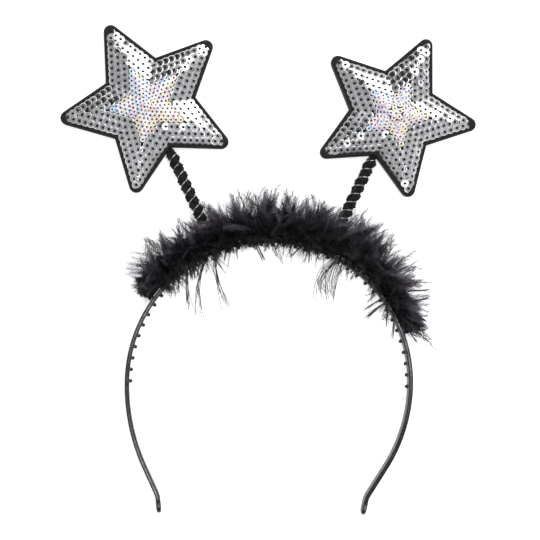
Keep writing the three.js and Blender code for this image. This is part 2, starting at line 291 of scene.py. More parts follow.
# The side that lies on the hair is left matt, with the fine grain of the mould. Its paler, warmer tone is a
# painted reflection of the pale table seen at a grazing angle.
grip_face_painted_reflection, tree, surface = new_material("matt_plastic_painted_reflection")
grain = speckle(tree, object_place(tree), 3200.0, 3.0)
gloss = add_group(tree, haze, Scale=240.0, Low=0.42, High=0.52)
set_inputs(
    tree,
    surface,
    Base_Color=colour_ramp(tree, grain, (0.35, (0.06, 0.055, 0.055)), (0.7, (0.085, 0.077, 0.077))),
    Roughness=gloss.outputs["Value"],
    Normal=relief(tree, grain, 0.3, 0.0001),
)

bmesh.ops.recalc_face_normals(strip, faces=strip.faces)
# Upright faces that look inward take the matt plastic, with its painted reflection.
for face in strip.faces:
    inward = (arch_centre - face.calc_center_median()).xy
    if abs(face.normal.z) < UPRIGHT_LIMIT and face.normal.xy.dot(inward) > 0:
        face.material_index = 1
band_strip = show("band_strip", to_mesh(strip), band_plastic)
band_strip.data.materials.append(grip_face_painted_reflection)
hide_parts("headband")
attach(band_strip, "band")


# Grip teeth
# A row of small round studs on the inside of the arch that hold the hair. They are moulded with the strip,
# in the same black plastic, from the arch's right end to just past its left end.
TEETH_COUNT = 39
TEETH_FROM = 0.6
TEETH_TO = 181.5
TOOTH_SIDES = 14
MERGE_DISTANCE = 0.01 * MM
TOOTH_PROFILE = (
    {"radius": 0.95, "along": -0.40},
    {"radius": 0.93, "along": 0.10},
    {"radius": 0.94, "along": 0.55},
    {"radius": 0.86, "along": 1.00},
    {"radius": 0.64, "along": 1.36},
    {"radius": 0.34, "along": 1.54},
    {"radius": 0.00, "along": 1.60},
)


def spread_copies(points, places):
    """Points repeated at each of an array of 4 x 4 places."""
    return np.einsum("nij,vj->nvi", places[:, :3, :3], points) + places[:, None, :3, 3]


def copies(template, places):
    """Joined copies of a small mesh, one at each of an array of 4 x 4 places."""
    count, size = len(places), len(template.vertices)
    spots = np.empty(size * 3)
    template.vertices.foreach_get("co", spots)
    loops = np.empty(len(template.loops), dtype=np.int32)
    template.loops.foreach_get("vertex_index", loops)
    starts = np.empty(len(template.polygons), dtype=np.int32)
    template.polygons.foreach_get("loop_start", starts)
    serial = np.arange(count)[:, None]
    moved = spread_copies(spots.reshape(-1, 3), places).reshape(-1, 3)
    return from_arrays(moved, loops + serial * size, starts + serial * len(loops))


def from_arrays(points, loops, starts):
    """A mesh from arrays of points, of corner indices and of each face's first corner."""
    mesh = bpy.data.meshes.new("copies")
    mesh.vertices.add(len(points))
    mesh.vertices.foreach_set("co", points.astype(np.float32).ravel())
    mesh.loops.add(loops.size)
    mesh.loops.foreach_set("vertex_index", loops.astype(np.int32).ravel())
    mesh.polygons.add(starts.size)
    mesh.polygons.foreach_set("loop_start", starts.astype(np.int32).ravel())
    mesh.update(calc_edges=True)
    return mesh


stud = bmesh.new()
profile = [stud.verts.new((row["radius"] * MM, 0, row["along"] * MM)) for row in TOOTH_PROFILE]
lines = [stud.edges.new(pair) for pair in zip(profile, profile[1:])]
bmesh.ops.spin(
    stud, geom=profile + lines, axis=(0, 0, 1), angle=2 * math.pi, steps=TOOTH_SIDES, use_merge=True
)
bmesh.ops.remove_doubles(stud, verts=stud.verts, dist=MERGE_DISTANCE)
bmesh.ops.holes_fill(stud, edges=[edge for edge in stud.edges if edge.is_boundary], sides=0)
stud_mesh = to_mesh(stud)
teeth_places = []
for degrees in np.linspace(TEETH_FROM, TEETH_TO, TEETH_COUNT):
    turn = Matrix.Rotation(math.radians(degrees), 4, "Z") @ Matrix.Rotation(-math.pi / 2, 4, "Y")
    teeth_places.append(Matrix.Translation(on_arch(arch_inner, degrees, BAND_DEPTH / 2)) @ turn)
grip_teeth = show("grip_teeth", copies(stud_mesh, np.array(teeth_places)), band_plastic)
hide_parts("headband")
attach(grip_teeth, "band")


# Down roll
# The heart of the trim: short black down bound on a cord into a soft roll, glued along the outside of the
# arch. It lies on the table below and closes at both ends.
ROLL_FROM = 22
ROLL_TO = 147.5
ROLL_GAP = 0.1 * MM
ROLL_WIDTH = 12.5 * MM
ROLL_HEIGHT = 15 * MM
ROLL_FLOOR_GAP = 0.2 * MM
ROLL_SHARE = 0.76
ROLL_CUT_SLANT = 3
ROLL_RISE = 2 * MM
ROLL_TAPER = {"right": 0.6, "left": 0.25}
ROLL_SIDES, ROLL_STEPS = 18, 110
DRAFT_RADIUS = 100
roll_radius = arch_outer + ROLL_GAP + ROLL_WIDTH / 2
roll_middle = BAND_DEPTH / 2 + ROLL_RISE


def roll_swell(along):
    """How full the roll is: it ripples, tapers to the right and ends blunt on the left."""
    taper = ROLL_TAPER["right" if along < 0.5 else "left"]
    ends = min(1, 1.6 * max(0, math.sin(math.pi * along)) ** taper)
    return max(0.2, ends * (1 - 0.06 * (1 + math.sin(along * 37))))


# The roll is drafted as a thin tube on a wide circle, and then each point is put in its place.
roll = bmesh.new()
bmesh.ops.create_circle(roll, segments=ROLL_SIDES, radius=1)
bmesh.ops.transform(roll, matrix=Matrix.Rotation(math.pi / 2, 4, "X"), verts=roll.verts)
bmesh.ops.translate(roll, verts=roll.verts, vec=(DRAFT_RADIUS, 0, 0))
roll_length = math.radians(ROLL_TO - ROLL_FROM)
roll_start = roll.verts[:] + roll.edges[:]
for end in (roll_start, swing(roll, roll_start, Vector(), roll_length, ROLL_STEPS)):
    bmesh.ops.edgeloop_fill(roll, edges=only(bmesh.types.BMEdge, end))
for vertex in roll.verts:
    along = math.atan2(vertex.co.y, vertex.co.x) / roll_length
    outward = vertex.co.xy.length - DRAFT_RADIUS
    lump = 1 + 0.05 * math.sin(along * 150 + 3 * vertex.co.z) + 0.04 * math.sin(along * 311 - 5 * outward)
    full = ROLL_SHARE * roll_swell(along) * lump
    reach = ROLL_WIDTH / 2 * outward * (full if outward > 0 else 1)
    height = roll_middle + ROLL_HEIGHT / 2 * full * vertex.co.z
    degrees = ROLL_FROM + along * (ROLL_TO - ROLL_FROM) - ROLL_CUT_SLANT * max(0, outward) * along**12
    vertex.co = on_arch(roll_radius + reach, degrees, max(ROLL_FLOOR_GAP, height))


def mix_colours(tree, share, first, second):
    """The blend of two colours by a share."""
    node = add_node(tree, "ShaderNodeMix", {"data_type": "RGBA"}, Factor=share)
    feed(tree, node.inputs[6], first)
    feed(tree, node.inputs[7], second)
    return node.outputs[2]


# Fibre: the tone and the relief of a mass of fine fibres.
fibre, fibre_in, fibre_out = new_group(
    "fibre_mass",
    (
        ("Scale", "NodeSocketFloat", 900.0),
        ("Dark", "NodeSocketColor", (0.004, 0.004, 0.005, 1)),
        ("Light", "NodeSocketColor", (0.02, 0.02, 0.022, 1)),
    ),
    (("Color", "NodeSocketColor"), ("Height", "NodeSocketFloat")),
)
fibre_noise = speckle(fibre, object_place(fibre), fibre_in.outputs["Scale"], 8.0, 0.72)
fibre_share = rescale(fibre, fibre_noise, 0.35, 0.68)
fibre_tone = mix_colours(fibre, fibre_share, fibre_in.outputs["Dark"], fibre_in.outputs["Light"])
set_inputs(fibre, fibre_out, Color=fibre_tone, Height=fibre_noise)


def fibre_material(name, scale, dark, light, roughness, strength, depth):
    """A dull fibrous cloth or down, with its tone and relief from the fibre group."""
    material, tree, surface = new_material(name)
    mass = add_group(tree, fibre, Scale=scale, Dark=(*dark, 1), Light=(*light, 1))
    normal = relief(tree, mass.outputs["Height"], strength, depth)
    set_inputs(tree, surface, Base_Color=mass.outputs["Color"], Normal=normal)
    set_inputs(tree, surface, Roughness=roughness, Specular_IOR_Level=0.2)
    return material


down = fibre_material(
    "black_down", 1100.0, (0.0031, 0.0027, 0.0037), (0.012, 0.0102, 0.0138), 0.9, 0.9, 0.0006
)


def show_trim(name, mesh, material):
    """A piece of the feather trim, which is glued to the band."""
    piece = show(name, mesh, material)
    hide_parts("feather_trim")
    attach(piece, "band")


show_trim("down_roll", to_mesh(roll), down)


# Down tufts
# Black marabou fills the trim. Silky barbs cling together in pointed tufts all over the roll, and those along
# the front lie down over the band. They are bound on the roll's cord by their roots.


def table(columns, *rows):
    """Rows of values under their columns' names. A short row lacks the last columns."""
    return [dict(zip(columns.split(), row)) for row in rows]


# Ranks of tufts: how many, the stretch of the arch in degrees, the direction across the roll (0 outward, 90
# to the front) and how much it varies, how far they lean along the arch, and how far they stay short of the
# full reach. Some have a length of their own instead, with how far out and how high their roots are. Lengths
# are in millimetres.
RANK_COLUMNS = "count from to around vary lean short length root_out root_height"
TUFT_RANKS = table(
    RANK_COLUMNS,
    (210, 23, 147, 2, 14, 0.35, 8.5),
    (190, 23, 147, 42, 15, 0.5, 7.5),
    (150, 24, 146, 80, 18, 0.7, 0, 9.0, 5.5, 10.0),
    (220, 66, 140, 158, 12, 0.5, 0, 5.6, 2.4, 8.4),
    (60, 25, 66, 130, 14, 0.6, 0, 1.7, 2.4, 8.4),
)
TUFT = {"strands": 29, "tip_count": 3, "spread": 1.3 * MM, "splay": 0.17}
# The tufts are split into pieces by where they stand on the arch.
TUFT_STRETCHES = {"right": (0, 55), "right_crown": (55, 87), "left_crown": (87, 118), "left": (118, 180)}
# The long locks that stand out past the rest.
LOCK_RANKS = table(
    RANK_COLUMNS,
    (64, 23, 145, 4, 14, 0.5, 1.5),
    (50, 25, 144, 40, 16, 0.6, 2.0),
)
LOCK = {"strands": 66, "tip_count": 2, "spread": 1.0 * MM, "splay": 0.11}
BARB_RADII = (0.075 * MM, 0.075 * MM, 0.065 * MM, 0.045 * MM)
BARB_STOPS = (0, 0.28, 0.55, 0.8, 1)
# The share of barbs that cling to the tip of their lock, and how closely these and the others do.
CLINGING, CLING, STRAY_CLING = 0.86, 0.97, 0.3
# Short barbs stand out of the trim's blunt left end, where it is cut: their lengths in millimetres, their
# tone, how far back they root in degrees, and how much of the end they fill.
CUT_TUFTS = 64
CUT_TUFT = {"strands": 14, "tip_count": 3, "spread": 0.8 * MM, "splay": 0.3}
CUT_LENGTHS = (1.2, 2.8)
CUT_TONE = 0.12
CUT_SET_BACK = 0.8
CUT_FILLED = 0.8
# How far the longest tufts reach from the arch's centre, and how they sweep along it, by the direction there.
TUFT_REACH = table(
    "degrees reach sweep",
    (20, 77, -1.0),
    (30, 80, -0.7),
    (38, 84.5, -0.25),
    (48, 90, -0.1),
    (60, 91.5, 0.0),
    (104, 90.5, 0.05),
    (118, 83, 0.25),
    (132, 86.5, 0.2),
    (139, 85, -0.1),
    (144, 79, -0.5),
    (148, 72, -1.1),
)
TUFT_SHORTEST, TUFT_LONGEST = 6 * MM, 21 * MM
LEAN_LIMIT = 1.2
# How far outside the band the roots lie: those that reach out, and the nearest of those along the front.
ROOT_OUT = (1.5, 7.5)
FRONT_ROOT_OUT = 0.6
# A tuft that lies along the arch is cut as if at least this share of it went outwards.
OUTWARD_LEAST = 0.62
# How far out from the band the tufts' painted shade fades to their full tone: sooner at the ends, where they
# lie thinner.
PAINTED_SHADE_DEPTH = table("degrees depth", (25, 10), (62, 15), (110, 15), (128, 11), (146, 9.5))
# The painted shade's tone deepest in the trim, and the curve by which it fades.
PAINTED_SHADE_DEEPEST = 0.03
PAINTED_SHADE_CURVE = 1.8
LOCK_TONE_CURVE = 2.1
STRAND_FLOOR_GAP = 0.35 * MM
TUFT_SOFT_CEILING = 18 * MM
TUFT_CEILING_ROOM = 7 * MM
SPRING_CLEARANCE = 2.5 * MM
# How wide strands part round a spring, as shares of the clearance.
PARTING = (0.85, 1.7)
SPRING_COVERED = {"left": 9.5 * MM, "right": 15.5 * MM}
SPRING_HEIGHT = 3.9 * MM
SWAY_DISTANCE = 16 * MM
joints = {joint["name"]: joint for joint in frame["joints"]}
chance = np.random.default_rng(11)
centre = np.array(arch_centre)
upward = np.array((0, 0, 1.0))


def unit(vectors):
    return vectors / np.maximum(np.linalg.norm(vectors, axis=-1, keepdims=True), 1e-9)


def spring_line(side):
    """Where a spring's own line starts on the arch, and the way it runs, from its two joints."""
    sway = Vector(joints[side + "_sway"]["pos_m"])
    nod = Vector(joints[side + "_nod"]["pos_m"])
    heading = (nod - sway).normalized()
    foot = sway - heading * SWAY_DISTANCE
    return Vector((foot.x, foot.y, 0)), heading


def store(mesh, name, values):
    """Stores a value at each of a mesh's points, for its material to read."""
    attribute = mesh.attributes.new(name, "FLOAT", "POINT")
    attribute.data.foreach_set("value", np.asarray(values, dtype=np.float32).ravel())


def strand_mesh(lines, radii, tones):
    """Closed three-sided strands from arrays of stops, root to tip, with a radius and a tone at each stop."""
    count, stops = lines.shape[:2]
    ahead = unit(np.gradient(lines, axis=1))
    across = unit(np.cross(ahead, (0.36, 0.48, 0.8)))
    over = np.cross(ahead, across)
    girth = np.broadcast_to(radii, (count, stops - 1))[:, :, None]
    rings = []
    for angle in np.arange(3) * 2 * math.pi / 3:
        around = math.cos(angle) * across[:, :-1] + math.sin(angle) * over[:, :-1]
        rings.append(lines[:, :-1] + girth * around)
    size = 3 * (stops - 1) + 1
    body = np.stack(rings, axis=2).reshape(count, size - 1, 3)
    points = np.concatenate([body, lines[:, -1:]], axis=1)
    faces = [(2, 1, 0)]
    for near in range(size - 4):
        far = near + 1 if near % 3 < 2 else near - 2
        faces += [(near, far, far + 3), (near, far + 3, near + 3)]
    last = size - 4
    faces += [(last + corner, last + (corner + 1) % 3, size - 1) for corner in range(3)]
    loops = np.array(faces)[None] + (np.arange(count) * size)[:, None, None]
    mesh = from_arrays(points.reshape(-1, 3), loops, np.arange(loops.size // 3) * 3)
    store(mesh, "strand_tone_and_shade", np.concatenate([np.repeat(tones[:, :-1], 3, axis=1), tones[:, -1:]], axis=1))
    return mesh


def tuft_strands(roots, aims, bends, lengths, strands, tip_count, spread, splay, shortest=0.62):
    """Stops of every barb of a set of tufts, and its lock: a lock's barbs cling together at the tip."""
    count = len(roots)
    shape = (count, strands, 1)
    lock = chance.integers(0, tip_count, shape)
    cling = np.where(chance.random(shape) < CLINGING, CLING, STRAY_CLING)
    own_root = np.take_along_axis(chance.normal(0, spread, (count, tip_count, 3)), lock, axis=1)
    own_tip = np.take_along_axis(chance.normal(0, splay * 1.2, (count, tip_count, 3)), lock, axis=1)
    offset = chance.normal(0, 0.4 * spread, shape[:2] + (3,))
    fan = chance.normal(0, splay, shape[:2] + (3,))
    size = lengths[:, None, None] * chance.uniform(shortest, 1.0, shape)
    stray = chance.normal(0, 0.05, shape[:2] + (3,))
    stops = []
    for way in BARB_STOPS:
        loose = 1 - cling * way
        path = (aims[:, None] + own_tip * way + fan * loose) * way + bends[:, None] * way**2 + stray * way**3
        stops.append(roots[:, None] + own_root + offset * loose + size * path)
    locks = np.arange(count)[:, None] * tip_count + lock[:, :, 0]
    return np.stack(stops, axis=2).reshape(-1, len(BARB_STOPS), 3), locks.ravel()


def settle(lines):
    """Strands pressed back between the table and a soft ceiling."""
    over = np.maximum(0, lines[:, :, 2] - TUFT_SOFT_CEILING)
    pressed = TUFT_CEILING_ROOM * (1 - np.exp(-over / TUFT_CEILING_ROOM))
    lines[:, :, 2] = np.maximum(lines[:, :, 2] - over + pressed, STRAND_FLOOR_GAP)
    return lines


def part_round_springs(lines):
    """Strands pushed aside where they would run through a spring, or in front of its bare length."""
    for side, covered in SPRING_COVERED.items():
        foot, heading = spring_line(side)
        sideways = np.array((-heading.y, heading.x, 0))
        offset = lines - np.array(foot)
        along = offset @ np.array(heading)
        aside = offset @ sideways
        above = offset[:, :, 2] - SPRING_HEIGHT
        hides = ((above > 0) & (along > covered)) | (np.abs(above) < SPRING_CLEARANCE)
        room = SPRING_CLEARANCE * chance.uniform(*PARTING, (len(lines), 1))
        depth = np.maximum(0, room - np.abs(aside)) * hides
        hand = np.where(aside[:, -1:] < 0, -1, 1)
        moved = hand * (room + 0.3 * depth)
        lines += np.where(depth > 0, moved - aside, 0)[:, :, None] * sideways
    return lines


def read_off(rows, column, degrees):
    """A column of a table at some directions, between its rows."""
    return np.interp(degrees, [row["degrees"] for row in rows], [row[column] for row in rows])


def tone_with_painted_shade(lines, tones):
    """Each strand's tone at its stops, with painted shade: darkest deep in the trim, and full where it stands
    out of it.
    """
    flat = (lines - centre)[:, :, :2]
    out = np.linalg.norm(flat, axis=2) - arch_outer
    degrees = np.degrees(np.arctan2(flat[:, :, 1], flat[:, :, 0]))
    way = np.clip(out / (read_off(PAINTED_SHADE_DEPTH, "depth", degrees) * MM), 0, 1)
    lit = PAINTED_SHADE_DEEPEST + (1 - PAINTED_SHADE_DEEPEST) * way**PAINTED_SHADE_CURVE
    return np.repeat(tones[:, None], lines.shape[1], axis=1) * lit


def radial_frame(degrees):
    """Outward and forward directions on the arch for an array of directions."""
    angle = np.radians(degrees)
    flat = np.zeros_like(angle)
    outward = np.stack([np.cos(angle), np.sin(angle), flat], axis=1)
    forward = np.stack([-np.sin(angle), np.cos(angle), flat], axis=1)
    return outward, forward


def rank_of_tufts(rank):
    """Where the tufts of one rank stand, the way they point and bend, and their lengths."""
    count = rank["count"]
    share = (np.arange(count) + chance.random(count)) / count
    degrees = rank["from"] + share * (rank["to"] - rank["from"])
    outward, forward = radial_frame(degrees)
    reach = read_off(TUFT_REACH, "reach", degrees) * MM
    sweep = read_off(TUFT_REACH, "sweep", degrees)
    around = np.radians(rank["around"] + chance.normal(0, rank["vary"], count))
    across = np.cos(around)[:, None] * outward + np.sin(around)[:, None] * upward
    wave = 0.5 * np.sin(degrees * 0.83 + 1.0) + 0.4 * np.sin(degrees * 0.37 + 0.4)
    lean = sweep + rank["lean"] * np.clip(wave + chance.normal(0, 0.7, count), -LEAN_LIMIT, LEAN_LIMIT)
    aims = unit(across + lean[:, None] * forward)
    if "length" in rank:
        root_radius = arch_outer + chance.uniform(FRONT_ROOT_OUT, rank["root_out"], count) * MM
        root_height = rank["root_height"] * MM + chance.normal(0, 0.7, count) * MM
        lengths = rank["length"] * MM * chance.uniform(0.75, 1.25, count)
    else:
        root_radius = arch_outer + chance.uniform(*ROOT_OUT, count) * MM
        root_height = (5.5 + 4.5 * np.sin(around) + chance.normal(0, 1.0, count)) * MM
        ragged = chance.normal(-rank["short"], 2.2, count) + 5 * chance.random(count) ** 3
        outward_share = np.maximum(OUTWARD_LEAST, (aims * outward).sum(axis=1))
        straight = (reach + ragged * MM - root_radius) / outward_share
        lengths = np.clip(straight, TUFT_SHORTEST, TUFT_LONGEST)
    roots = centre + outward * root_radius[:, None] + upward * root_height[:, None]
    bends = forward * chance.normal(0, 0.22, (count, 1)) + upward * chance.normal(-0.14, 0.12, (count, 1))
    return roots, aims, bends, lengths, degrees


def grow(ranks, make):
    """The barbs of every tuft of some ranks, with their tones and where along the arch they stand."""
    grown = []
    for rank in ranks:
        *stance, degrees = rank_of_tufts(rank)
        lines, locks = tuft_strands(*stance, **make)
        lines = part_round_springs(settle(lines))
        lock_tones = chance.random(locks.max() + 1) ** LOCK_TONE_CURVE
        tones = lock_tones[locks] * chance.uniform(0.7, 1.3, len(lines))
        grown.append((lines, tone_with_painted_shade(lines, tones), np.repeat(degrees, make["strands"])))
    return (np.concatenate(parts) for parts in zip(*grown))


def cut_end():
    """The barbs that stand out of the roll's left end, with their tones."""
    spin = chance.uniform(0, 2 * math.pi, (CUT_TUFTS, 1))
    deep = np.sqrt(chance.random((CUT_TUFTS, 1)))
    slant = ROLL_CUT_SLANT * np.maximum(0, deep * np.cos(spin))
    outward, forward = radial_frame(ROLL_TO - CUT_SET_BACK - slant[:, 0])
    out = outward * np.cos(spin)
    up = upward * np.sin(spin)
    middle = centre + outward * roll_radius + upward * roll_middle
    roots = middle + deep * (out * ROLL_WIDTH + up * ROLL_HEIGHT) / 2 * ROLL_SHARE * CUT_FILLED
    aims = unit(0.5 * forward + out + up + chance.normal(0, 0.45, (CUT_TUFTS, 3)))
    lengths = chance.uniform(*CUT_LENGTHS, CUT_TUFTS) * MM
    lines, _ = tuft_strands(roots, aims, 0 * aims, lengths, **CUT_TUFT)
    tones = CUT_TONE * chance.random((len(lines), 1))
    return settle(lines), np.repeat(tones, len(BARB_STOPS), axis=1)


def own_value(tree, name):
    """The value that a piece stores at its points under a name."""
    return add_node(tree, "ShaderNodeAttribute", {"attribute_name": name}).outputs["Fac"]


def work_out(tree, operation, *values):
    """The result of a sum on values or on other nodes' outputs."""
    node = add_node(tree, "ShaderNodeMath", {"operation": operation})
    for socket, value in zip(node.inputs, values):
        feed(tree, socket, value)
    return node.outputs["Value"]


plume_down, tree, surface = new_material("marabou_barbs")
# The stored strand tone carries the painted shade deep in the trim.
barb_noise = speckle(tree, object_place(tree), 420.0, 3.0)
barb_tone = work_out(tree, "MULTIPLY", own_value(tree, "strand_tone_and_shade"), barb_noise)
barb_colour = colour_ramp(tree, barb_tone, (0.03, (0.0042, 0.0036, 0.0052)), (0.46, (0.252, 0.22, 0.278)))
set_inputs(tree, surface, Base_Color=barb_colour, Roughness=0.5, Specular_IOR_Level=0.4)

barb_lines, barb_tones, barb_degrees = grow(TUFT_RANKS, TUFT)
lock_lines, lock_tones, _ = grow(LOCK_RANKS, LOCK)
cut_lines, cut_tones = cut_end()
tuft_meshes = {
    "long_locks": strand_mesh(lock_lines, BARB_RADII, lock_tones),
    "cut_end": strand_mesh(cut_lines, BARB_RADII, cut_tones),
}
for name, (low, high) in TUFT_STRETCHES.items():
    chosen = (barb_degrees >= low) & (barb_degrees < high)
    tuft_meshes[f"tufts_{name}"] = strand_mesh(barb_lines[chosen], BARB_RADII, barb_tones[chosen])
for name, mesh in tuft_meshes.items():
    show_trim(name, mesh, plume_down)


# Plumes
# Whole small marabou feathers stand out along the crest, past the tufts. Each has a thin shaft, and barbs
# that leave it on both sides and lie back towards its tip.
PLUME_RANKS = table(
    RANK_COLUMNS,
    (74, 22, 143, 8, 14, 0.5, -2.5),
    (54, 26, 142, 44, 15, 0.55, -0.5),
)
BARBS_PER_PLUME = 54
# Barbs leave the shaft from above its foot to its tip, and are longest at the foot, in shares of its length.
BARBED_FROM, BARBED_LENGTH = 0.12, 0.86
FOOT_BARB, TIP_BARB = 0.36, 0.08
BARB_TURN = 0.42
SHAFT_TONE = 0.3
SHAFT_RADII = (0.13 * MM, 0.11 * MM, 0.08 * MM)
PLUME_BARB_RADII = (0.075 * MM, 0.07 * MM, 0.05 * MM)


def plume_strands(roots, aims, bends, lengths, barbs):
    """Stops of the shafts of a set of plumes and of their barbs, with the radii and a tone for each."""
    count = len(roots)
    size = lengths[:, None]
    shafts = [roots + size * (aims * way + bends * way**2) for way in (0, 0.33, 0.67, 1)]
    flat = unit(np.cross(aims, upward + chance.normal(0, 0.55, (count, 3))))
    way = BARBED_FROM + BARBED_LENGTH * (np.arange(barbs) + chance.random((count, barbs))) / barbs
    way = way[:, :, None]
    hand = np.where(chance.random(way.shape) < 0.5, -1, 1)
    lock = np.repeat(chance.normal(0, 0.2, (count, barbs // 3, 1)), 3, axis=1)
    starts = roots[:, None] + size[:, None] * (aims[:, None] * way + bends[:, None] * way**2)
    ahead = unit(aims[:, None] + 2 * way * bends[:, None])
    aside = flat[:, None] * hand * (0.8 - 0.3 * way + lock)
    away = unit(ahead + aside + chance.normal(0, 0.16, starts.shape))
    barb_share = FOOT_BARB * (1 - way) ** 0.8 + TIP_BARB
    reach = size[:, None] * barb_share * chance.uniform(0.7, 1.25, way.shape)
    turn = (ahead - away) * BARB_TURN
    barb_stops = [starts + reach * (away * step + turn * step**2) for step in (0, 0.35, 0.7, 1)]
    lines = np.concatenate([np.stack(shafts, axis=1), np.stack(barb_stops, axis=2).reshape(-1, 4, 3)])
    radii = np.repeat((SHAFT_RADII, PLUME_BARB_RADII), (count, count * barbs), axis=0)
    shade = chance.uniform(0.15, 0.55, count)
    barb_shade = np.repeat(shade, barbs) * chance.uniform(0.5, 1.5, count * barbs)
    return lines, radii, np.concatenate([shade * SHAFT_TONE, barb_shade])


plume_parts = [plume_strands(*rank_of_tufts(rank)[:4], BARBS_PER_PLUME) for rank in PLUME_RANKS]
plume_lines, plume_radii, plume_tones = (np.concatenate(parts) for parts in zip(*plume_parts))
plume_lines = part_round_springs(settle(plume_lines))
crest_mesh = strand_mesh(plume_lines, plume_radii, tone_with_painted_shade(plume_lines, plume_tones))
show_trim("crest_plumes", crest_mesh, plume_down)


# Loose strands
# Long barbs that have worked out of the trim. Most hang over the inside of the band near the left spring and
# in a bunch near the right one, and a few stand off its right end. Small plumes hang with them.
# Where each barb leaves the arch in degrees and how far outside the band, where it heads in degrees, how it
# bends aside and back as shares of its length, its length in millimetres, and how many run together in it.
LOOSE_STRANDS = table(
    "degrees out heading bend back length barbs",
    (133.6, 0, 255, 0.10, 0.0, 11.5, 4),
    (131.0, 0, 262, 0.00, 0.0, 10.7, 6),
    (128.2, 0, 269, 0.17, 0.0, 27.5, 7),
    (124.0, 0, 264, 0.10, 0.0, 9.5, 7),
    (120.5, 0, 252, 0.10, 0.0, 11.0, 7),
    (117.5, 0, 239, 0.50, 0.0, 33.0, 7),
    (114.4, 0, 266, 0.36, 0.0, 35.5, 8),
    (116.0, 0, 299, 0.05, 0.0, 12.5, 4),
    (110.5, 0, 268, 0.10, 0.0, 7.0, 5),
    (98.0, 0, 283, 0.22, 0.0, 11.0, 10),
    (78.8, 0, 232, -0.10, 0.0, 10.0, 8),
    (76.6, 0, 262, 0.00, 0.0, 9.0, 7),
    (64.4, 0, 213, 0.39, -0.56, 42.5, 4),
    (63.8, 0, 217, 0.38, -0.52, 38.0, 5),
    (63.4, 0, 225, 0.34, -0.40, 33.5, 5),
    (62.8, 0, 236, 0.28, -0.22, 29.0, 5),
    (62.0, 0, 250, 0.10, -0.10, 23.5, 5),
    (38.9, 0, 203, 0.15, 0.0, 13.5, 11),
    (36.9, 0, 212, 0.18, 0.0, 15.0, 11),
    (35.0, 0, 252, 0.20, 0.0, 10.0, 11),
    (31.0, 0, 268, 0.00, 0.0, 13.0, 5),
    (24.3, 4, 321, 0.00, 0.0, 14.5, 4),
    (24.0, 3, 305, 0.05, 0.0, 12.0, 4),
    (30.5, 9, 312, -0.10, 0.0, 11.5, 5),
    (32.6, 8, 10, 0.08, 0.0, 14.5, 7),
    (36.0, 11, 3, 0.00, 0.0, 12.5, 7),
)
LOOSE_RADII = (0.18 * MM, 0.18 * MM, 0.17 * MM, 0.15 * MM)
LOOSE_HEIGHT = 8.9 * MM
LOOSE = {"tip_count": 2, "spread": 0.4 * MM, "splay": 0.04, "shortest": 0.72}
# Where the small plumes hang along the arch, how many, and their length. Their roots' heights follow, all in
# millimetres.
HANGING_PLUMES = table(
    "from to count length",
    (108, 138, 40, 8.0),
    (84, 92, 5, 10.0),
    (67, 84, 14, 7.0),
    (46, 66, 16, 6.5),
    (31, 46, 16, 6.5),
)
BARBS_PER_HANGING_PLUME = 18
HANGING_HEIGHTS = (8.3, 9.0)
HANGING_WAY = (0.05, 0.7, -0.02)
HANGING_TONE = 0.6

loose_lines = []
for row in LOOSE_STRANDS:
    outward, _ = radial_frame(np.array([row["degrees"]]))
    aim, aside = radial_frame(np.array([float(row["heading"])]))
    root = centre + outward * (arch_radius + row["out"] * MM) + upward * LOOSE_HEIGHT
    bend = aside * row["bend"] + aim * row["back"] - upward * 0.12
    size = np.array([row["length"] * MM])
    lines, _ = tuft_strands(root, aim + upward * 0.05, bend, size, row["barbs"], **LOOSE)
    loose_lines.append(lines)
loose_lines = settle(np.concatenate(loose_lines))
loose_tones = np.repeat(chance.beta(2, 5, (len(loose_lines), 1)), len(BARB_STOPS), axis=1)
show_trim("loose_strands", strand_mesh(loose_lines, LOOSE_RADII, loose_tones), plume_down)

hanging_parts = []
for row in HANGING_PLUMES:
    count = row["count"]
    outward, _ = radial_frame(chance.uniform(row["from"], row["to"], count))
    roots = centre + outward * arch_radius + upward * (chance.uniform(*HANGING_HEIGHTS, (count, 1)) * MM)
    hang = -outward * 0.6 - np.array(HANGING_WAY)
    aims = unit(hang + chance.normal(0, 0.35, (count, 3)) * (1, 1, 0.15))
    bends = chance.normal(0, 0.2, (count, 3)) * (1, 1, 0.3) - upward * 0.1
    lengths = row["length"] * MM * chance.uniform(0.55, 1.2, count)
    hanging_parts.append(plume_strands(roots, aims, bends, lengths, BARBS_PER_HANGING_PLUME))
hanging_lines, hanging_radii, hanging_tones = (np.concatenate(parts) for parts in zip(*hanging_parts))
hanging_shades = np.repeat(hanging_tones[:, None] * HANGING_TONE, 4, axis=1)
hanging_mesh = strand_mesh(settle(hanging_lines), hanging_radii, hanging_shades)
show_trim("hanging_plumes", hanging_mesh, plume_down)


# Springs
# A coil of thin bright wire carries each star, with a fuzzy black chenille cord wound between its turns. Its
# foot is glued into the trim and its far end is squeezed into the star's lowest notch.
STARS = {
    "left": {"distance": 77.6 * MM, "scale": 1.0, "turn": 2.4},
    "right": {"distance": 74.5 * MM, "scale": 0.945, "turn": 0.9},
}
STAR_NOTCH_RADIUS = 22.9 * MM
SPRING_PITCH = 4.44 * MM
SPRING_START = 3.25 * MM
SPRING_BREAK = 27 * MM
SPRING_INTO_STAR = 4.8 * MM
SQUEEZE_SHARE = 0.62
SQUEEZE_OVER = 4 * MM
STRANDS = {
    "wire": {"coil": 1.68 * MM, "thick": 0.28 * MM, "wide": 0.28 * MM, "lag": 0.5, "sides": 8, "ruffle": 0},
    "wrap": {"coil": 1.16 * MM, "thick": 1.18 * MM, "wide": 2.3 * MM, "lag": 0, "sides": 30, "ruffle": 0.28},
}
STEPS_PER_TURN = 36
RUFFLES_PER_TURN = 11
RUFFLE_LENGTH = 1.7 * MM
FUZZ_PER_MM = 260
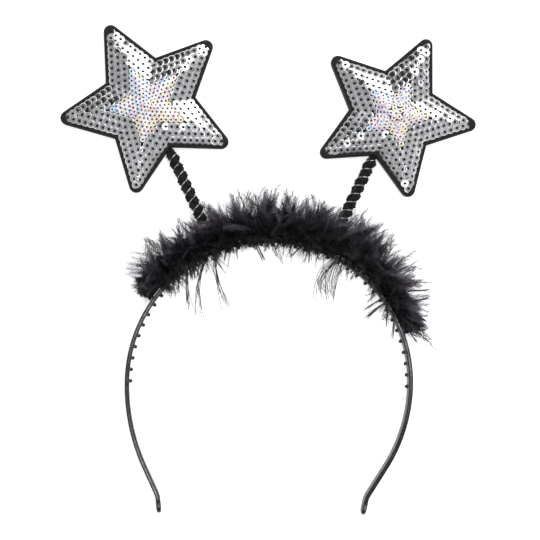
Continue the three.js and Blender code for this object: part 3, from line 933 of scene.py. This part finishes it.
FUZZ_RADII = (0.1 * MM,)
FUZZ_ROOT_DEPTH = 0.85
FUZZ_LENGTHS = (0.35, 1.25)
FUZZ_LOCKS = 3


def antenna_frame(side):
    """The place of a spring's own frame, which runs along +Y from the arch's centreline."""
    foot, heading = spring_line(side)
    return Matrix.Translation(foot) @ Matrix.Rotation(math.atan2(heading.y, heading.x) - math.pi / 2, 4, "Z")


def squeeze_at(along, notch):
    """The share of its full radius that the spring has at a distance along it."""
    way = np.clip((along - notch + SQUEEZE_OVER) / (SQUEEZE_OVER - SPRING_PITCH / 4), 0, 1)
    return 1 - way * way * (3 - 2 * way) * (1 - SQUEEZE_SHARE)


def coil(strand, low, high, notch):
    """A strand wound round +Y at the spring's height, over one stretch of its length."""
    shape = bmesh.new()
    bmesh.ops.create_circle(shape, segments=strand["sides"], radius=1)
    bmesh.ops.scale(shape, vec=(strand["thick"], strand["wide"], 1), verts=shape.verts)
    bmesh.ops.rotate(shape, matrix=Matrix.Rotation(-math.pi / 2, 3, "Y"), verts=shape.verts)
    bmesh.ops.translate(shape, vec=(0, low, strand["coil"]), verts=shape.verts)
    first = 2 * math.pi * ((low - SPRING_START) / SPRING_PITCH + strand["lag"])
    bmesh.ops.rotate(shape, matrix=Matrix.Rotation(first, 3, "Y"), verts=shape.verts)
    turns = (high - low) / SPRING_PITCH
    steps = round(turns * STEPS_PER_TURN)
    rise = (0, (high - low) / steps, 0)
    start = shape.verts[:] + shape.edges[:]
    wound = bmesh.ops.spin(
        shape, geom=start, axis=(0, 1, 0), dvec=rise, angle=2 * math.pi * turns, steps=steps
    )
    for end in (start, wound["geom_last"]):
        bmesh.ops.edgeloop_fill(shape, edges=only(bmesh.types.BMEdge, end))
    for vertex in shape.verts:
        around = math.atan2(vertex.co.x, vertex.co.z) + 2 * math.pi * vertex.co.y / SPRING_PITCH
        wave = math.sin(RUFFLES_PER_TURN * around) + math.sin(0.61 * RUFFLES_PER_TURN * around + 1)
        fold = math.sin(2 * math.pi * vertex.co.y / RUFFLE_LENGTH + 2 * math.sin(3.1 * around))
        ruffle = 1 + strand["ruffle"] * (0.35 * wave + math.copysign(math.sqrt(abs(fold)), fold))
        share = squeeze_at(vertex.co.y, notch) * ruffle
        vertex.co.x *= share
        vertex.co.z *= share
    bmesh.ops.translate(shape, vec=(0, 0, SPRING_HEIGHT), verts=shape.verts)
    return shape


def chenille_fuzz(strand, low, high, notch):
    """Short fibres that stand out all over the wound cord, over one stretch of its length."""
    count = int((high - low) / MM * FUZZ_PER_MM)
    along = chance.uniform(low, high, count)
    angle = 2 * math.pi * ((along - SPRING_START) / SPRING_PITCH + strand["lag"])
    around = chance.uniform(-math.pi, math.pi, count)
    out = np.stack([np.sin(angle), np.zeros(count), np.cos(angle)], axis=1)
    forward = np.stack([np.cos(angle), np.zeros(count), -np.sin(angle)], axis=1)
    axis = np.array((0, 1.0, 0))
    share = squeeze_at(along, notch)[:, None]
    deep = strand["coil"] + strand["thick"] * FUZZ_ROOT_DEPTH * np.cos(around)
    wide = along + strand["wide"] * FUZZ_ROOT_DEPTH * np.sin(around)
    roots = out * share * deep[:, None] + axis * wide[:, None]
    aims = unit(out * np.cos(around)[:, None] + axis * np.sin(around)[:, None] * 0.8)
    lock = np.round(angle * FUZZ_LOCKS).astype(int)
    gather = lock / FUZZ_LOCKS + 0.05 * np.sin(around * 5) - angle
    aims = unit(aims + forward * gather[:, None] * 3 + chance.normal(0, 0.16, (count, 3)))
    lock -= lock.min()
    lock_length = chance.uniform(*FUZZ_LENGTHS, (lock.max() + 1, 1))[lock]
    tips = roots + aims * lock_length * chance.uniform(0.7, 1.1, (count, 1)) * MM
    lines = np.stack([roots, tips], axis=1)
    lines[:, :, 2] += SPRING_HEIGHT
    return lines


bright_wire, tree, surface = new_material("bright_drawn_wire")
polish = add_group(tree, haze, Scale=2600.0, Low=0.3, High=0.5)
set_inputs(
    tree, surface, Base_Color=(0.95, 0.95, 0.96, 1), Roughness=polish.outputs["Value"], Metallic=0.4
)
chenille = fibre_material(
    "black_chenille", 2600.0, (0.014, 0.0112, 0.0112), (0.065, 0.054, 0.055), 0.85, 1.0, 0.0004
)
spring_materials = {"wire": bright_wire, "wrap": chenille}
for side, star in STARS.items():
    to_row = antenna_frame(side)
    notch = star["distance"] - STAR_NOTCH_RADIUS * star["scale"]
    bend_break, bend_end = SPRING_BREAK + 2 * MM, notch - 3 * MM
    # Each half: its stretch of the spring, the stretch given for its bend, and the names of the bodies at its
    # two ends.
    halves = {
        "lower": ((SPRING_START, SPRING_BREAK), (SPRING_START, bend_break), ("band", f"{side}_spring")),
        "upper": (
            (SPRING_BREAK, notch + SPRING_INTO_STAR),
            (bend_break, bend_end),
            (f"{side}_spring", f"{side}_star"),
        ),
    }
    for half, (stretch, bend, bodies) in halves.items():
        for kind, strand in STRANDS.items():
            wound = coil(strand, *stretch, notch)
            bmesh.ops.recalc_face_normals(wound, faces=wound.faces)
            if kind == "wrap":
                fuzz = chenille_fuzz(strand, *stretch, notch)
                fuzz_tones = np.repeat(chance.random((len(fuzz), 1)), 2, axis=1)
                wound.from_mesh(strand_mesh(fuzz, FUZZ_RADII, fuzz_tones))
            bmesh.ops.transform(wound, matrix=to_row, verts=wound.verts)
            mesh = bpy.data.meshes.new("coil")
            wound.to_mesh(mesh)
            wound.free()
            piece = show(f"{side}_{kind}_{half}", mesh, spring_materials[kind])
            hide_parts(f"{side}_spring_{kind}")
            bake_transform(piece)


# Star backs
# The star's back is a flat cut of thick black felt that lies on the table. Its edges are eased by the cutter,
# and it is sewn to the star's front round the rim.
STAR_TIP_RADIUS = 47.3 * MM
STAR_TIP_ROUNDING = 3.4 * MM
TIP_STEPS = 8
BACK_THICKNESS = 2 * MM
BACK_EDGE = 0.35 * MM
SHORTEST_CUT_EDGE = 4 * MM


def star_blank(scale, cuts):
    """A flat star face with rounded tips, one tip along +Y."""
    half = math.pi / 5
    tip, notch, rounding = STAR_TIP_RADIUS * scale, STAR_NOTCH_RADIUS * scale, STAR_TIP_ROUNDING * scale
    half_angle = math.atan2(notch * math.sin(half), tip - notch * math.cos(half))
    sweep = math.pi / 2 - half_angle
    shape = bmesh.new()
    outline = []
    for arm in range(5):
        axis = math.pi / 2 + 2 * half * arm
        way = Vector((math.cos(axis), math.sin(axis), 0))
        tip_centre = way * (tip - rounding / math.sin(half_angle))
        start = shape.verts.new(tip_centre + Matrix.Rotation(-sweep, 3, "Z") @ way * rounding)
        swing(shape, [start], tip_centre, 2 * sweep, TIP_STEPS)
        shape.verts.ensure_lookup_table()
        end = shape.verts[-1]
        corner = shape.verts.new(Matrix.Rotation(half, 3, "Z") @ way * notch)
        outline.append((start, end, corner))
    for arm, (start, end, corner) in enumerate(outline):
        shape.edges.new((end, corner))
        shape.edges.new((corner, outline[(arm + 1) % 5][0]))
    bmesh.ops.edgeloop_fill(shape, edges=shape.edges)
    if cuts:
        long_edges = [edge for edge in shape.edges if edge.calc_length() > SHORTEST_CUT_EDGE]
        bmesh.ops.subdivide_edges(shape, edges=long_edges, cuts=cuts)
    return shape


def star_frame(side):
    """The place of a star's own frame: its middle on the table, with its top tip along +Y."""
    star = STARS[side]
    turn = Matrix.Rotation(math.radians(star["turn"]), 4, "Z")
    return antenna_frame(side) @ Matrix.Translation((0, star["distance"], 0)) @ turn


black_felt = fibre_material(
    "black_felt", 1500.0, (0.006, 0.006, 0.0065), (0.022, 0.021, 0.022), 0.95, 0.8, 0.0003
)
for side, star in STARS.items():
    back = star_blank(star["scale"], 0)
    raised = bmesh.ops.extrude_face_region(back, geom=back.faces[:], use_keep_orig=True)["geom"]
    bmesh.ops.translate(back, vec=(0, 0, BACK_THICKNESS), verts=only(bmesh.types.BMVert, raised))
    brims = [edge for edge in back.edges if abs(edge.verts[0].co.z - edge.verts[1].co.z) < BACK_EDGE]
    bmesh.ops.bevel(
        back, geom=brims, offset=BACK_EDGE, segments=2, profile=0.5, affect="EDGES", material=-1
    )
    bmesh.ops.transform(back, matrix=star_frame(side), verts=back.verts)
    piece = show(f"{side}_felt_back", to_mesh(back), black_felt)
    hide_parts(f"{side}_star_back")
    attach(piece, f"{side}_star")


# Star pads
# The star's front is black cloth over stuffing, sewn down inside a plain rolled rim. The stuffing rises to a
# soft ridge along each arm. The sequins are sewn on this cloth.
PAD_FOOT = 2.3 * MM
RIM_TOP = 6.4 * MM
RIM_WIDTH = 2.2 * MM
# The rim's outer side from its foot up: shares of the star's outline, and heights above the foot.
RIM_SIDE = (
    (0.985, 0),
    (1, 0.5 * MM),
    (1.004, 1.9 * MM),
    (1, 3.2 * MM),
    (0.992, 3.75 * MM),
    (0.975, 4.05 * MM),
)
PAD_STEP = 0.5 * MM
PAD_RISE = 6.4 * MM
PAD_RINGS = 26
PAD_EDGE_CUTS = 15
SMOOTH_PASSES = 20
PUCKER_HEIGHT = 0.3 * MM
PUCKER_LENGTH = 7 * MM
across_notch = STAR_NOTCH_RADIUS * math.sin(math.pi / 5)
along_arm = STAR_TIP_RADIUS - STAR_NOTCH_RADIUS * math.cos(math.pi / 5)
STAR_HALF_WIDTH = STAR_TIP_RADIUS * across_notch / math.hypot(across_notch, along_arm)


def star_pad(scale):
    """The rim and the crowned pad inside it, drawn up ring by ring from the star's outline."""
    shape = star_blank(scale, PAD_EDGE_CUTS)
    pad_share = 1 - RIM_WIDTH / (STAR_HALF_WIDTH * scale)
    rim_top = RIM_TOP - PAD_FOOT
    rings = [*RIM_SIDE, (0.95, rim_top + 0.02 * MM), (pad_share + 0.02, rim_top - 0.1 * MM)]
    rings.append((pad_share, rim_top - 0.35 * MM))
    for ring in range(PAD_RINGS):
        share = 1 - ring / PAD_RINGS
        rise = PAD_STEP + PAD_RISE * math.sin(math.pi / 2 * (1 - share))
        rings.append((pad_share * share * 0.99, rim_top + rise))
    edges = [edge for edge in shape.edges if edge.is_boundary]
    bmesh.ops.reverse_faces(shape, faces=shape.faces)
    bmesh.ops.translate(shape, vec=(0, 0, PAD_FOOT), verts=shape.verts)
    reached = (1, 0)
    ends = shape.verts[:]
    for ring, (share, height) in enumerate(rings):
        if ring > 0:
            edges, ends = draw_out(shape, edges, (0, 0, height - reached[1]))
        factor = share / reached[0]
        bmesh.ops.scale(shape, vec=(factor, factor, 1), verts=ends)
        reached = (share, height)
    bmesh.ops.edgeloop_fill(shape, edges=edges)
    crown = [vertex for vertex in shape.verts if vertex.co.z > RIM_TOP + PAD_STEP]
    for _ in range(SMOOTH_PASSES):
        bmesh.ops.smooth_vert(
            shape, verts=crown, factor=0.5, use_axis_x=False, use_axis_y=False, use_axis_z=True
        )
    for vertex in crown:
        vertex.co.z += PUCKER_HEIGHT * noise.noise(vertex.co / PUCKER_LENGTH + Vector((31 * scale, 0, 0)))
    return shape


pad_cloth, tree, surface = new_material("black_pad_cloth")
weave = add_node(
    tree,
    "ShaderNodeTexWave",
    {"wave_type": "BANDS", "bands_direction": "DIAGONAL"},
    Vector=object_place(tree),
    Scale=700.0,
    Distortion=1.5,
    Detail=2.0,
)
pile = add_group(tree, fibre, Scale=1300.0, Dark=(0.005, 0.005, 0.0055, 1), Light=(0.02, 0.019, 0.021, 1))
weave_relief = relief(tree, weave.outputs["Fac"], 0.35, 0.0002)
set_inputs(tree, surface, Base_Color=pile.outputs["Color"], Normal=weave_relief)
set_inputs(tree, surface, Roughness=0.7, Specular_IOR_Level=0.3)

pad_surface = {}
for side, star in STARS.items():
    pad = star_pad(star["scale"])
    bmesh.ops.recalc_face_normals(pad, faces=pad.faces)
    pad_surface[side] = BVHTree.FromBMesh(pad)
    bmesh.ops.transform(pad, matrix=star_frame(side), verts=pad.verts)
    piece = show(f"{side}_star_pad", to_mesh(pad), pad_cloth)
    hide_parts(f"{side}_star_front")
    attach(piece, f"{side}_star")


# Sequins
# Flat silver discs of metallised film with a hole in the middle, sewn in three rows that follow the star's
# edge, and smaller holographic ones in close rows over the middle. Each lies a little over its neighbour.
SILVER = {
    "radius": 2.14 * MM,
    "hole": 0.76 * MM,
    "spacing": 3.02 * MM,
    "rows": 3,
    "first_inset": 3.5 * MM,
    "last_inset": 9.5 * MM,
    "lift": 0.34 * MM,
}
HOLOGRAM = {
    "radius": 1.36 * MM,
    "hole": 0.5 * MM,
    "spacing": 2.2 * MM,
    "rows": 4,
    "first_inset": 12.7 * MM,
    "last_inset": None,
    "lift": 0.4 * MM,
}
LAST_ROW_SHARE = 0.108
FILM_THICKNESS = 0.09 * MM
BRIM_WIDTH = 0.42 * MM
BRIM_DROP = 0.12 * MM
SHINGLE_TILT = 3.0
# How far a sequin's own tilt varies in degrees, and the share of loose ones that vary more.
TILT_VARIES, LOOSE_TILT_VARIES, LOOSE_SHARE = 1.7, 4.5, 0.1
SEQUIN_SIDES = 12
# A sequin's bed is found a little nearer the middle, where the cloth is clear of its rows' corners.
BED_SHARE = 0.92
# The way in which the tints change across a star, and the length over which they do.
TINT_WAY = (0.8, -0.6, 0)
TINT_LENGTH = 20 * MM
TINTS = (
    (0.22, (0.16, 0.38, 1.0)),
    (0.42, (0.10, 0.78, 1.0)),
    (0.60, (0.62, 0.40, 1.0)),
    (0.76, (1.0, 0.38, 0.62)),
    (0.90, (1.0, 0.50, 0.14)),
    (1.00, (1.0, 0.86, 0.25)),
)


def sequin_template(kind):
    """One disc: a flat ring of film with its brim turned down."""
    shape = bmesh.new()
    hole, radius = kind["hole"], kind["radius"]
    outline = ((hole, 0), (radius - BRIM_WIDTH, 0), (radius, -BRIM_DROP), (hole, -FILM_THICKNESS))
    ring = [shape.verts.new((across, 0, up)) for across, up in outline]
    edges = [shape.edges.new((ring[i - 1], ring[i])) for i in range(len(ring))]
    bmesh.ops.spin(
        shape, geom=ring + edges, axis=(0, 0, 1), angle=2 * math.pi, steps=SEQUIN_SIDES, use_merge=True
    )
    return to_mesh(shape)


def sequin_rows(kind, scale):
    """Centres and forward directions of the sequins on each row, tip to notch round the star."""
    rows = []
    first = 1 - kind["first_inset"] / (STAR_HALF_WIDTH * scale)
    last = 1 - kind["last_inset"] / (STAR_HALF_WIDTH * scale) if kind["last_inset"] else LAST_ROW_SHARE
    for share in np.linspace(first, last, kind["rows"]):
        turns = []
        for corner in range(10):
            radius = share * scale * (STAR_NOTCH_RADIUS if corner % 2 else STAR_TIP_RADIUS)
            angle = math.radians(90 + 36 * corner)
            turns.append(Vector((radius * math.cos(angle), radius * math.sin(angle))))
        spots = []
        for corner in range(10):
            start, end = turns[corner], turns[(corner + 1) % 10]
            count = max(1, round((end - start).length / kind["spacing"]))
            for step in range(count):
                spots.append((start.lerp(end, step / count), (end - start).normalized()))
        rows.append(spots)
    if kind["last_inset"] is None:
        rows.append([(Vector((0, 0)), Vector((1, 0)))])
    return rows


def sequin_places(kind, scale, surface):
    """The 4 x 4 place of every sequin of a kind on a pad, laid on its cloth with a small tilt of its own."""
    places = []
    for row in sequin_rows(kind, scale):
        for spot, forward in row:
            inward = spot * BED_SHARE
            bed, normal, _, _ = surface.ray_cast(Vector((inward.x, inward.y, 1)), Vector((0, 0, -1)))
            drop = (spot - inward).dot(normal.xy) / normal.z
            seat = Vector((spot.x, spot.y, bed.z - drop)) + normal * kind["lift"]
            across = normal.cross(forward.to_3d()).normalized()
            ahead = across.cross(normal)
            upright = Matrix((ahead, across, normal)).transposed().to_4x4()
            varies = LOOSE_TILT_VARIES if chance.random() < LOOSE_SHARE else TILT_VARIES
            lean = Matrix.Rotation(math.radians(SHINGLE_TILT + chance.normal(0, varies)), 4, "Y")
            heel = Matrix.Rotation(math.radians(SHINGLE_TILT + chance.normal(0, varies)), 4, "X")
            places.append(Matrix.Translation(seat) @ upright @ lean @ heel)
    return places


def sew_on(name, kind, places, side, material):
    """The joined sequins of a kind on one star. Each stores a share, which rises across the star."""
    template = sequin_template(kind)
    to_row = star_frame(side)
    spins = chance.uniform(0, math.pi, len(places))
    turned = [to_row @ place @ Matrix.Rotation(spin, 4, "Z") for place, spin in zip(places, spins)]
    placed = np.array(turned)
    mesh = copies(template, placed)
    spots = placed[:, :3, 3]
    across = (spots - spots.mean(axis=0)) @ np.array(TINT_WAY) / TINT_LENGTH
    shares = np.clip(0.5 + 0.4 * across + chance.normal(0, 0.2, len(places)), 0, 1)
    store(mesh, "sequin_share", np.repeat(shares, len(template.vertices)))
    brim = [float(vertex.co.xy.length > kind["radius"] - BRIM_WIDTH / 2) for vertex in template.vertices]
    store(mesh, "sequin_brim", np.tile(brim, len(places)))
    piece = show(name, mesh, material, crease=12)
    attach(piece, f"{side}_star")


silver_film, tree, surface = new_material("silver_sequin_film")
film_share = own_value(tree, "sequin_share")
film_tone = colour_ramp(tree, film_share, (0, (0.56, 0.56, 0.57)), (1, (0.8, 0.8, 0.81)))
film_gloss = add_group(tree, haze, Scale=700.0, Low=0.08, High=0.18)
# The brim is duller than the flat of the disc, and painted paler: a painted highlight for the light its
# turned-down edge catches.
film_brim = own_value(tree, "sequin_brim")
film_waves = speckle(tree, object_place(tree), 520.0, 2.0)
set_inputs(
    tree,
    surface,
    Base_Color=mix_colours(tree, film_brim, film_tone, (0.98, 0.98, 0.98, 1)),
    Roughness=rescale(tree, film_brim, 0.0, 1.0, film_gloss.outputs["Value"], 0.55),
    Normal=relief(tree, film_waves, 0.12, 0.0003),
    Metallic=1,
)

hologram_film, tree, surface = new_material("holographic_sequin_film")
cells = add_node(tree, "ShaderNodeTexVoronoi", Vector=object_place(tree), Scale=1100.0)
cell_parts = add_node(tree, "ShaderNodeSeparateColor", Color=cells.outputs["Color"])
# The foil splits light into blues on one side of the star and warm tints on the other, cell by cell.
hue = work_out(tree, "MULTIPLY_ADD", cell_parts.outputs["Red"], 0.5, own_value(tree, "sequin_share"))
tint = colour_ramp(tree, hue, *TINTS)
strength = rescale(tree, cell_parts.outputs["Green"], 0.35, 0.95, 0.0, 0.95)
film_gloss = add_group(tree, haze, Scale=900.0, Low=0.2, High=0.4)
set_inputs(
    tree,
    surface,
    Base_Color=mix_colours(tree, strength, (0.96, 0.96, 0.97, 1), tint),
    Roughness=film_gloss.outputs["Value"],
    Metallic=0.2,
)

silver_places = {}
for side, star in STARS.items():
    silver_places[side] = sequin_places(SILVER, star["scale"], pad_surface[side])
    sew_on(f"{side}_silver_sequins", SILVER, silver_places[side], side, silver_film)
    hologram_places = sequin_places(HOLOGRAM, star["scale"], pad_surface[side])
    sew_on(f"{side}_hologram_sequins", HOLOGRAM, hologram_places, side, hologram_film)


# Stitches
# Clear nylon thread holds each silver sequin. It comes up through the hole and goes down over the edge that
# lies on the sequin before it.
STITCH = ((-0.5, 0, -0.1), (-0.9, 0, 0.1), (-1.6, 0, 0.1), (-2.3, 0, 0.0))
STITCH_RADII = (0.085 * MM, 0.085 * MM, 0.08 * MM)

nylon, tree, surface = new_material("clear_nylon_thread")
thread_gloss = add_group(tree, haze, Scale=1500.0, Low=0.15, High=0.3)
set_inputs(tree, surface, Base_Color=(0.42, 0.42, 0.43, 1), Roughness=thread_gloss.outputs["Value"])
set_inputs(tree, surface, Specular_IOR_Level=0.9)
for side, places in silver_places.items():
    placed = np.array([star_frame(side) @ place for place in places])
    lines = spread_copies(np.array(STITCH) * MM, placed)
    stitches = strand_mesh(lines, STITCH_RADII, np.ones((len(lines), len(STITCH))))
    thread = show(f"{side}_stitches", stitches, nylon)
    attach(thread, f"{side}_star")


# Stage
# A plain white table top under the part, of matt paper. It glows a little, so that it shows as plain white.
floor = bmesh.new()
bmesh.ops.create_grid(floor, x_segments=1, y_segments=1, size=3)
paper, tree, surface = new_material("white_paper")
paper_grain = add_group(tree, fibre, Scale=300.0, Dark=(0.86, 0.86, 0.86, 1), Light=(0.9, 0.9, 0.9, 1))
paper_tone = paper_grain.outputs["Color"]
set_inputs(tree, surface, Base_Color=paper_tone, Emission_Color=paper_tone)
set_inputs(tree, surface, Emission_Strength=0.75, Roughness=0.9)
table_top = show("table_top", to_mesh(floor), paper)


# Light and camera
# Soft boxes behind the crown, overhead and in front, three small ones that draw lines along the band's front,
# and a pale room give the soft studio light. The camera looks straight down, a little from the part's left.
PHOTO_TARGET = Vector((3.2 * MM, 2.0 * MM, 6.5 * MM))
CAMERA_OFFSET = Vector((-44 * MM, 0, 850 * MM))
CAMERA_ROLL = math.radians(2.4)
CAMERA_LENS = 117.6
ROOM_WALL = 1.6
ROOM_CEILING = 0.5
ROOM_DARK_CORNER = 0.04
DARK_CORNER_WAY = Vector((-0.644, 0.58, 0.5))
ROOM_BRIGHT_GAPS = 1.2


def soft_box(name, place, width, height, power, colour=(1, 1, 1)):
    """An oval soft light at a place, turned to the part."""
    light = bpy.data.lights.new(name, "AREA")
    light.color = colour
    light.shape = "ELLIPSE"
    light.size = width
    light.size_y = height
    light.energy = power
    lamp = bpy.data.objects.new(name, light)
    lamp.location = place
    lamp.rotation_mode = "QUATERNION"
    lamp.rotation_quaternion = (-Vector(place)).to_track_quat("-Z", "Y")
    bpy.context.scene.collection.objects.link(lamp)


soft_box("crown_soft_box", (0.36, 1.11, 0.85), 1.4, 1.0, 10.5)
soft_box("overhead_soft_box", (0.1, 0.55, 2.2), 0.95, 0.95, 8.0)
soft_box("front_soft_box", (0.16, -0.78, 1.1), 0.46, 0.46, 1.6)
soft_box("right_edge_light", (0.356, -0.112, 2.2), 0.13, 0.14, 0.5, (0.86, 0.92, 1.1))
soft_box("left_edge_light", (-0.098, -0.088, 2.2), 0.1, 0.12, 0.3)
soft_box("left_tip_light", (-0.078, -0.36, 2.2), 0.1, 0.17, 0.54)

world = bpy.data.worlds.new("pale_room")
world.use_nodes = True
tree = world.node_tree
look = add_node(tree, "ShaderNodeTexCoord").outputs["Generated"]
look_up = add_node(tree, "ShaderNodeSeparateXYZ", Vector=look).outputs["Z"]
wall = rescale(tree, look_up, 0.02, 0.2, ROOM_WALL, ROOM_CEILING, "SMOOTHSTEP")
near_corner = add_node(tree, "ShaderNodeVectorMath", {"operation": "DOT_PRODUCT"})
feed(tree, near_corner.inputs[0], look)
feed(tree, near_corner.inputs[1], DARK_CORNER_WAY.normalized())
clutter = speckle(tree, look, 9.0, 1.0)
gaps = rescale(tree, clutter, 0.56, 0.62, ROOM_DARK_CORNER / ROOM_CEILING, ROOM_BRIGHT_GAPS / ROOM_CEILING)
corner_shade = rescale(tree, near_corner.outputs["Value"], 0.85, 0.9, 1.0, gaps, "SMOOTHSTEP")
glow = work_out(tree, "MULTIPLY", wall, corner_shade)
set_inputs(tree, tree.nodes["Background"], Strength=glow, Color=(0.97, 0.98, 1.0, 1))
bpy.context.scene.world = world
bpy.context.scene.view_settings.view_transform = "Standard"

camera_data = bpy.data.cameras.new("photo_camera")
camera_data.lens = CAMERA_LENS
camera_data.sensor_width = 36
camera = bpy.data.objects.new("photo_camera", camera_data)
camera.location = PHOTO_TARGET + CAMERA_OFFSET
camera_back = CAMERA_OFFSET.normalized()
image_up = Vector((-math.sin(CAMERA_ROLL), math.cos(CAMERA_ROLL), 0))
camera_right = image_up.cross(camera_back).normalized()
camera_up = camera_back.cross(camera_right)
camera.rotation_mode = "QUATERNION"
camera.rotation_quaternion = Matrix((camera_right, camera_up, camera_back)).transposed().to_quaternion()
bpy.context.scene.collection.objects.link(camera)
bpy.context.scene.camera = camera
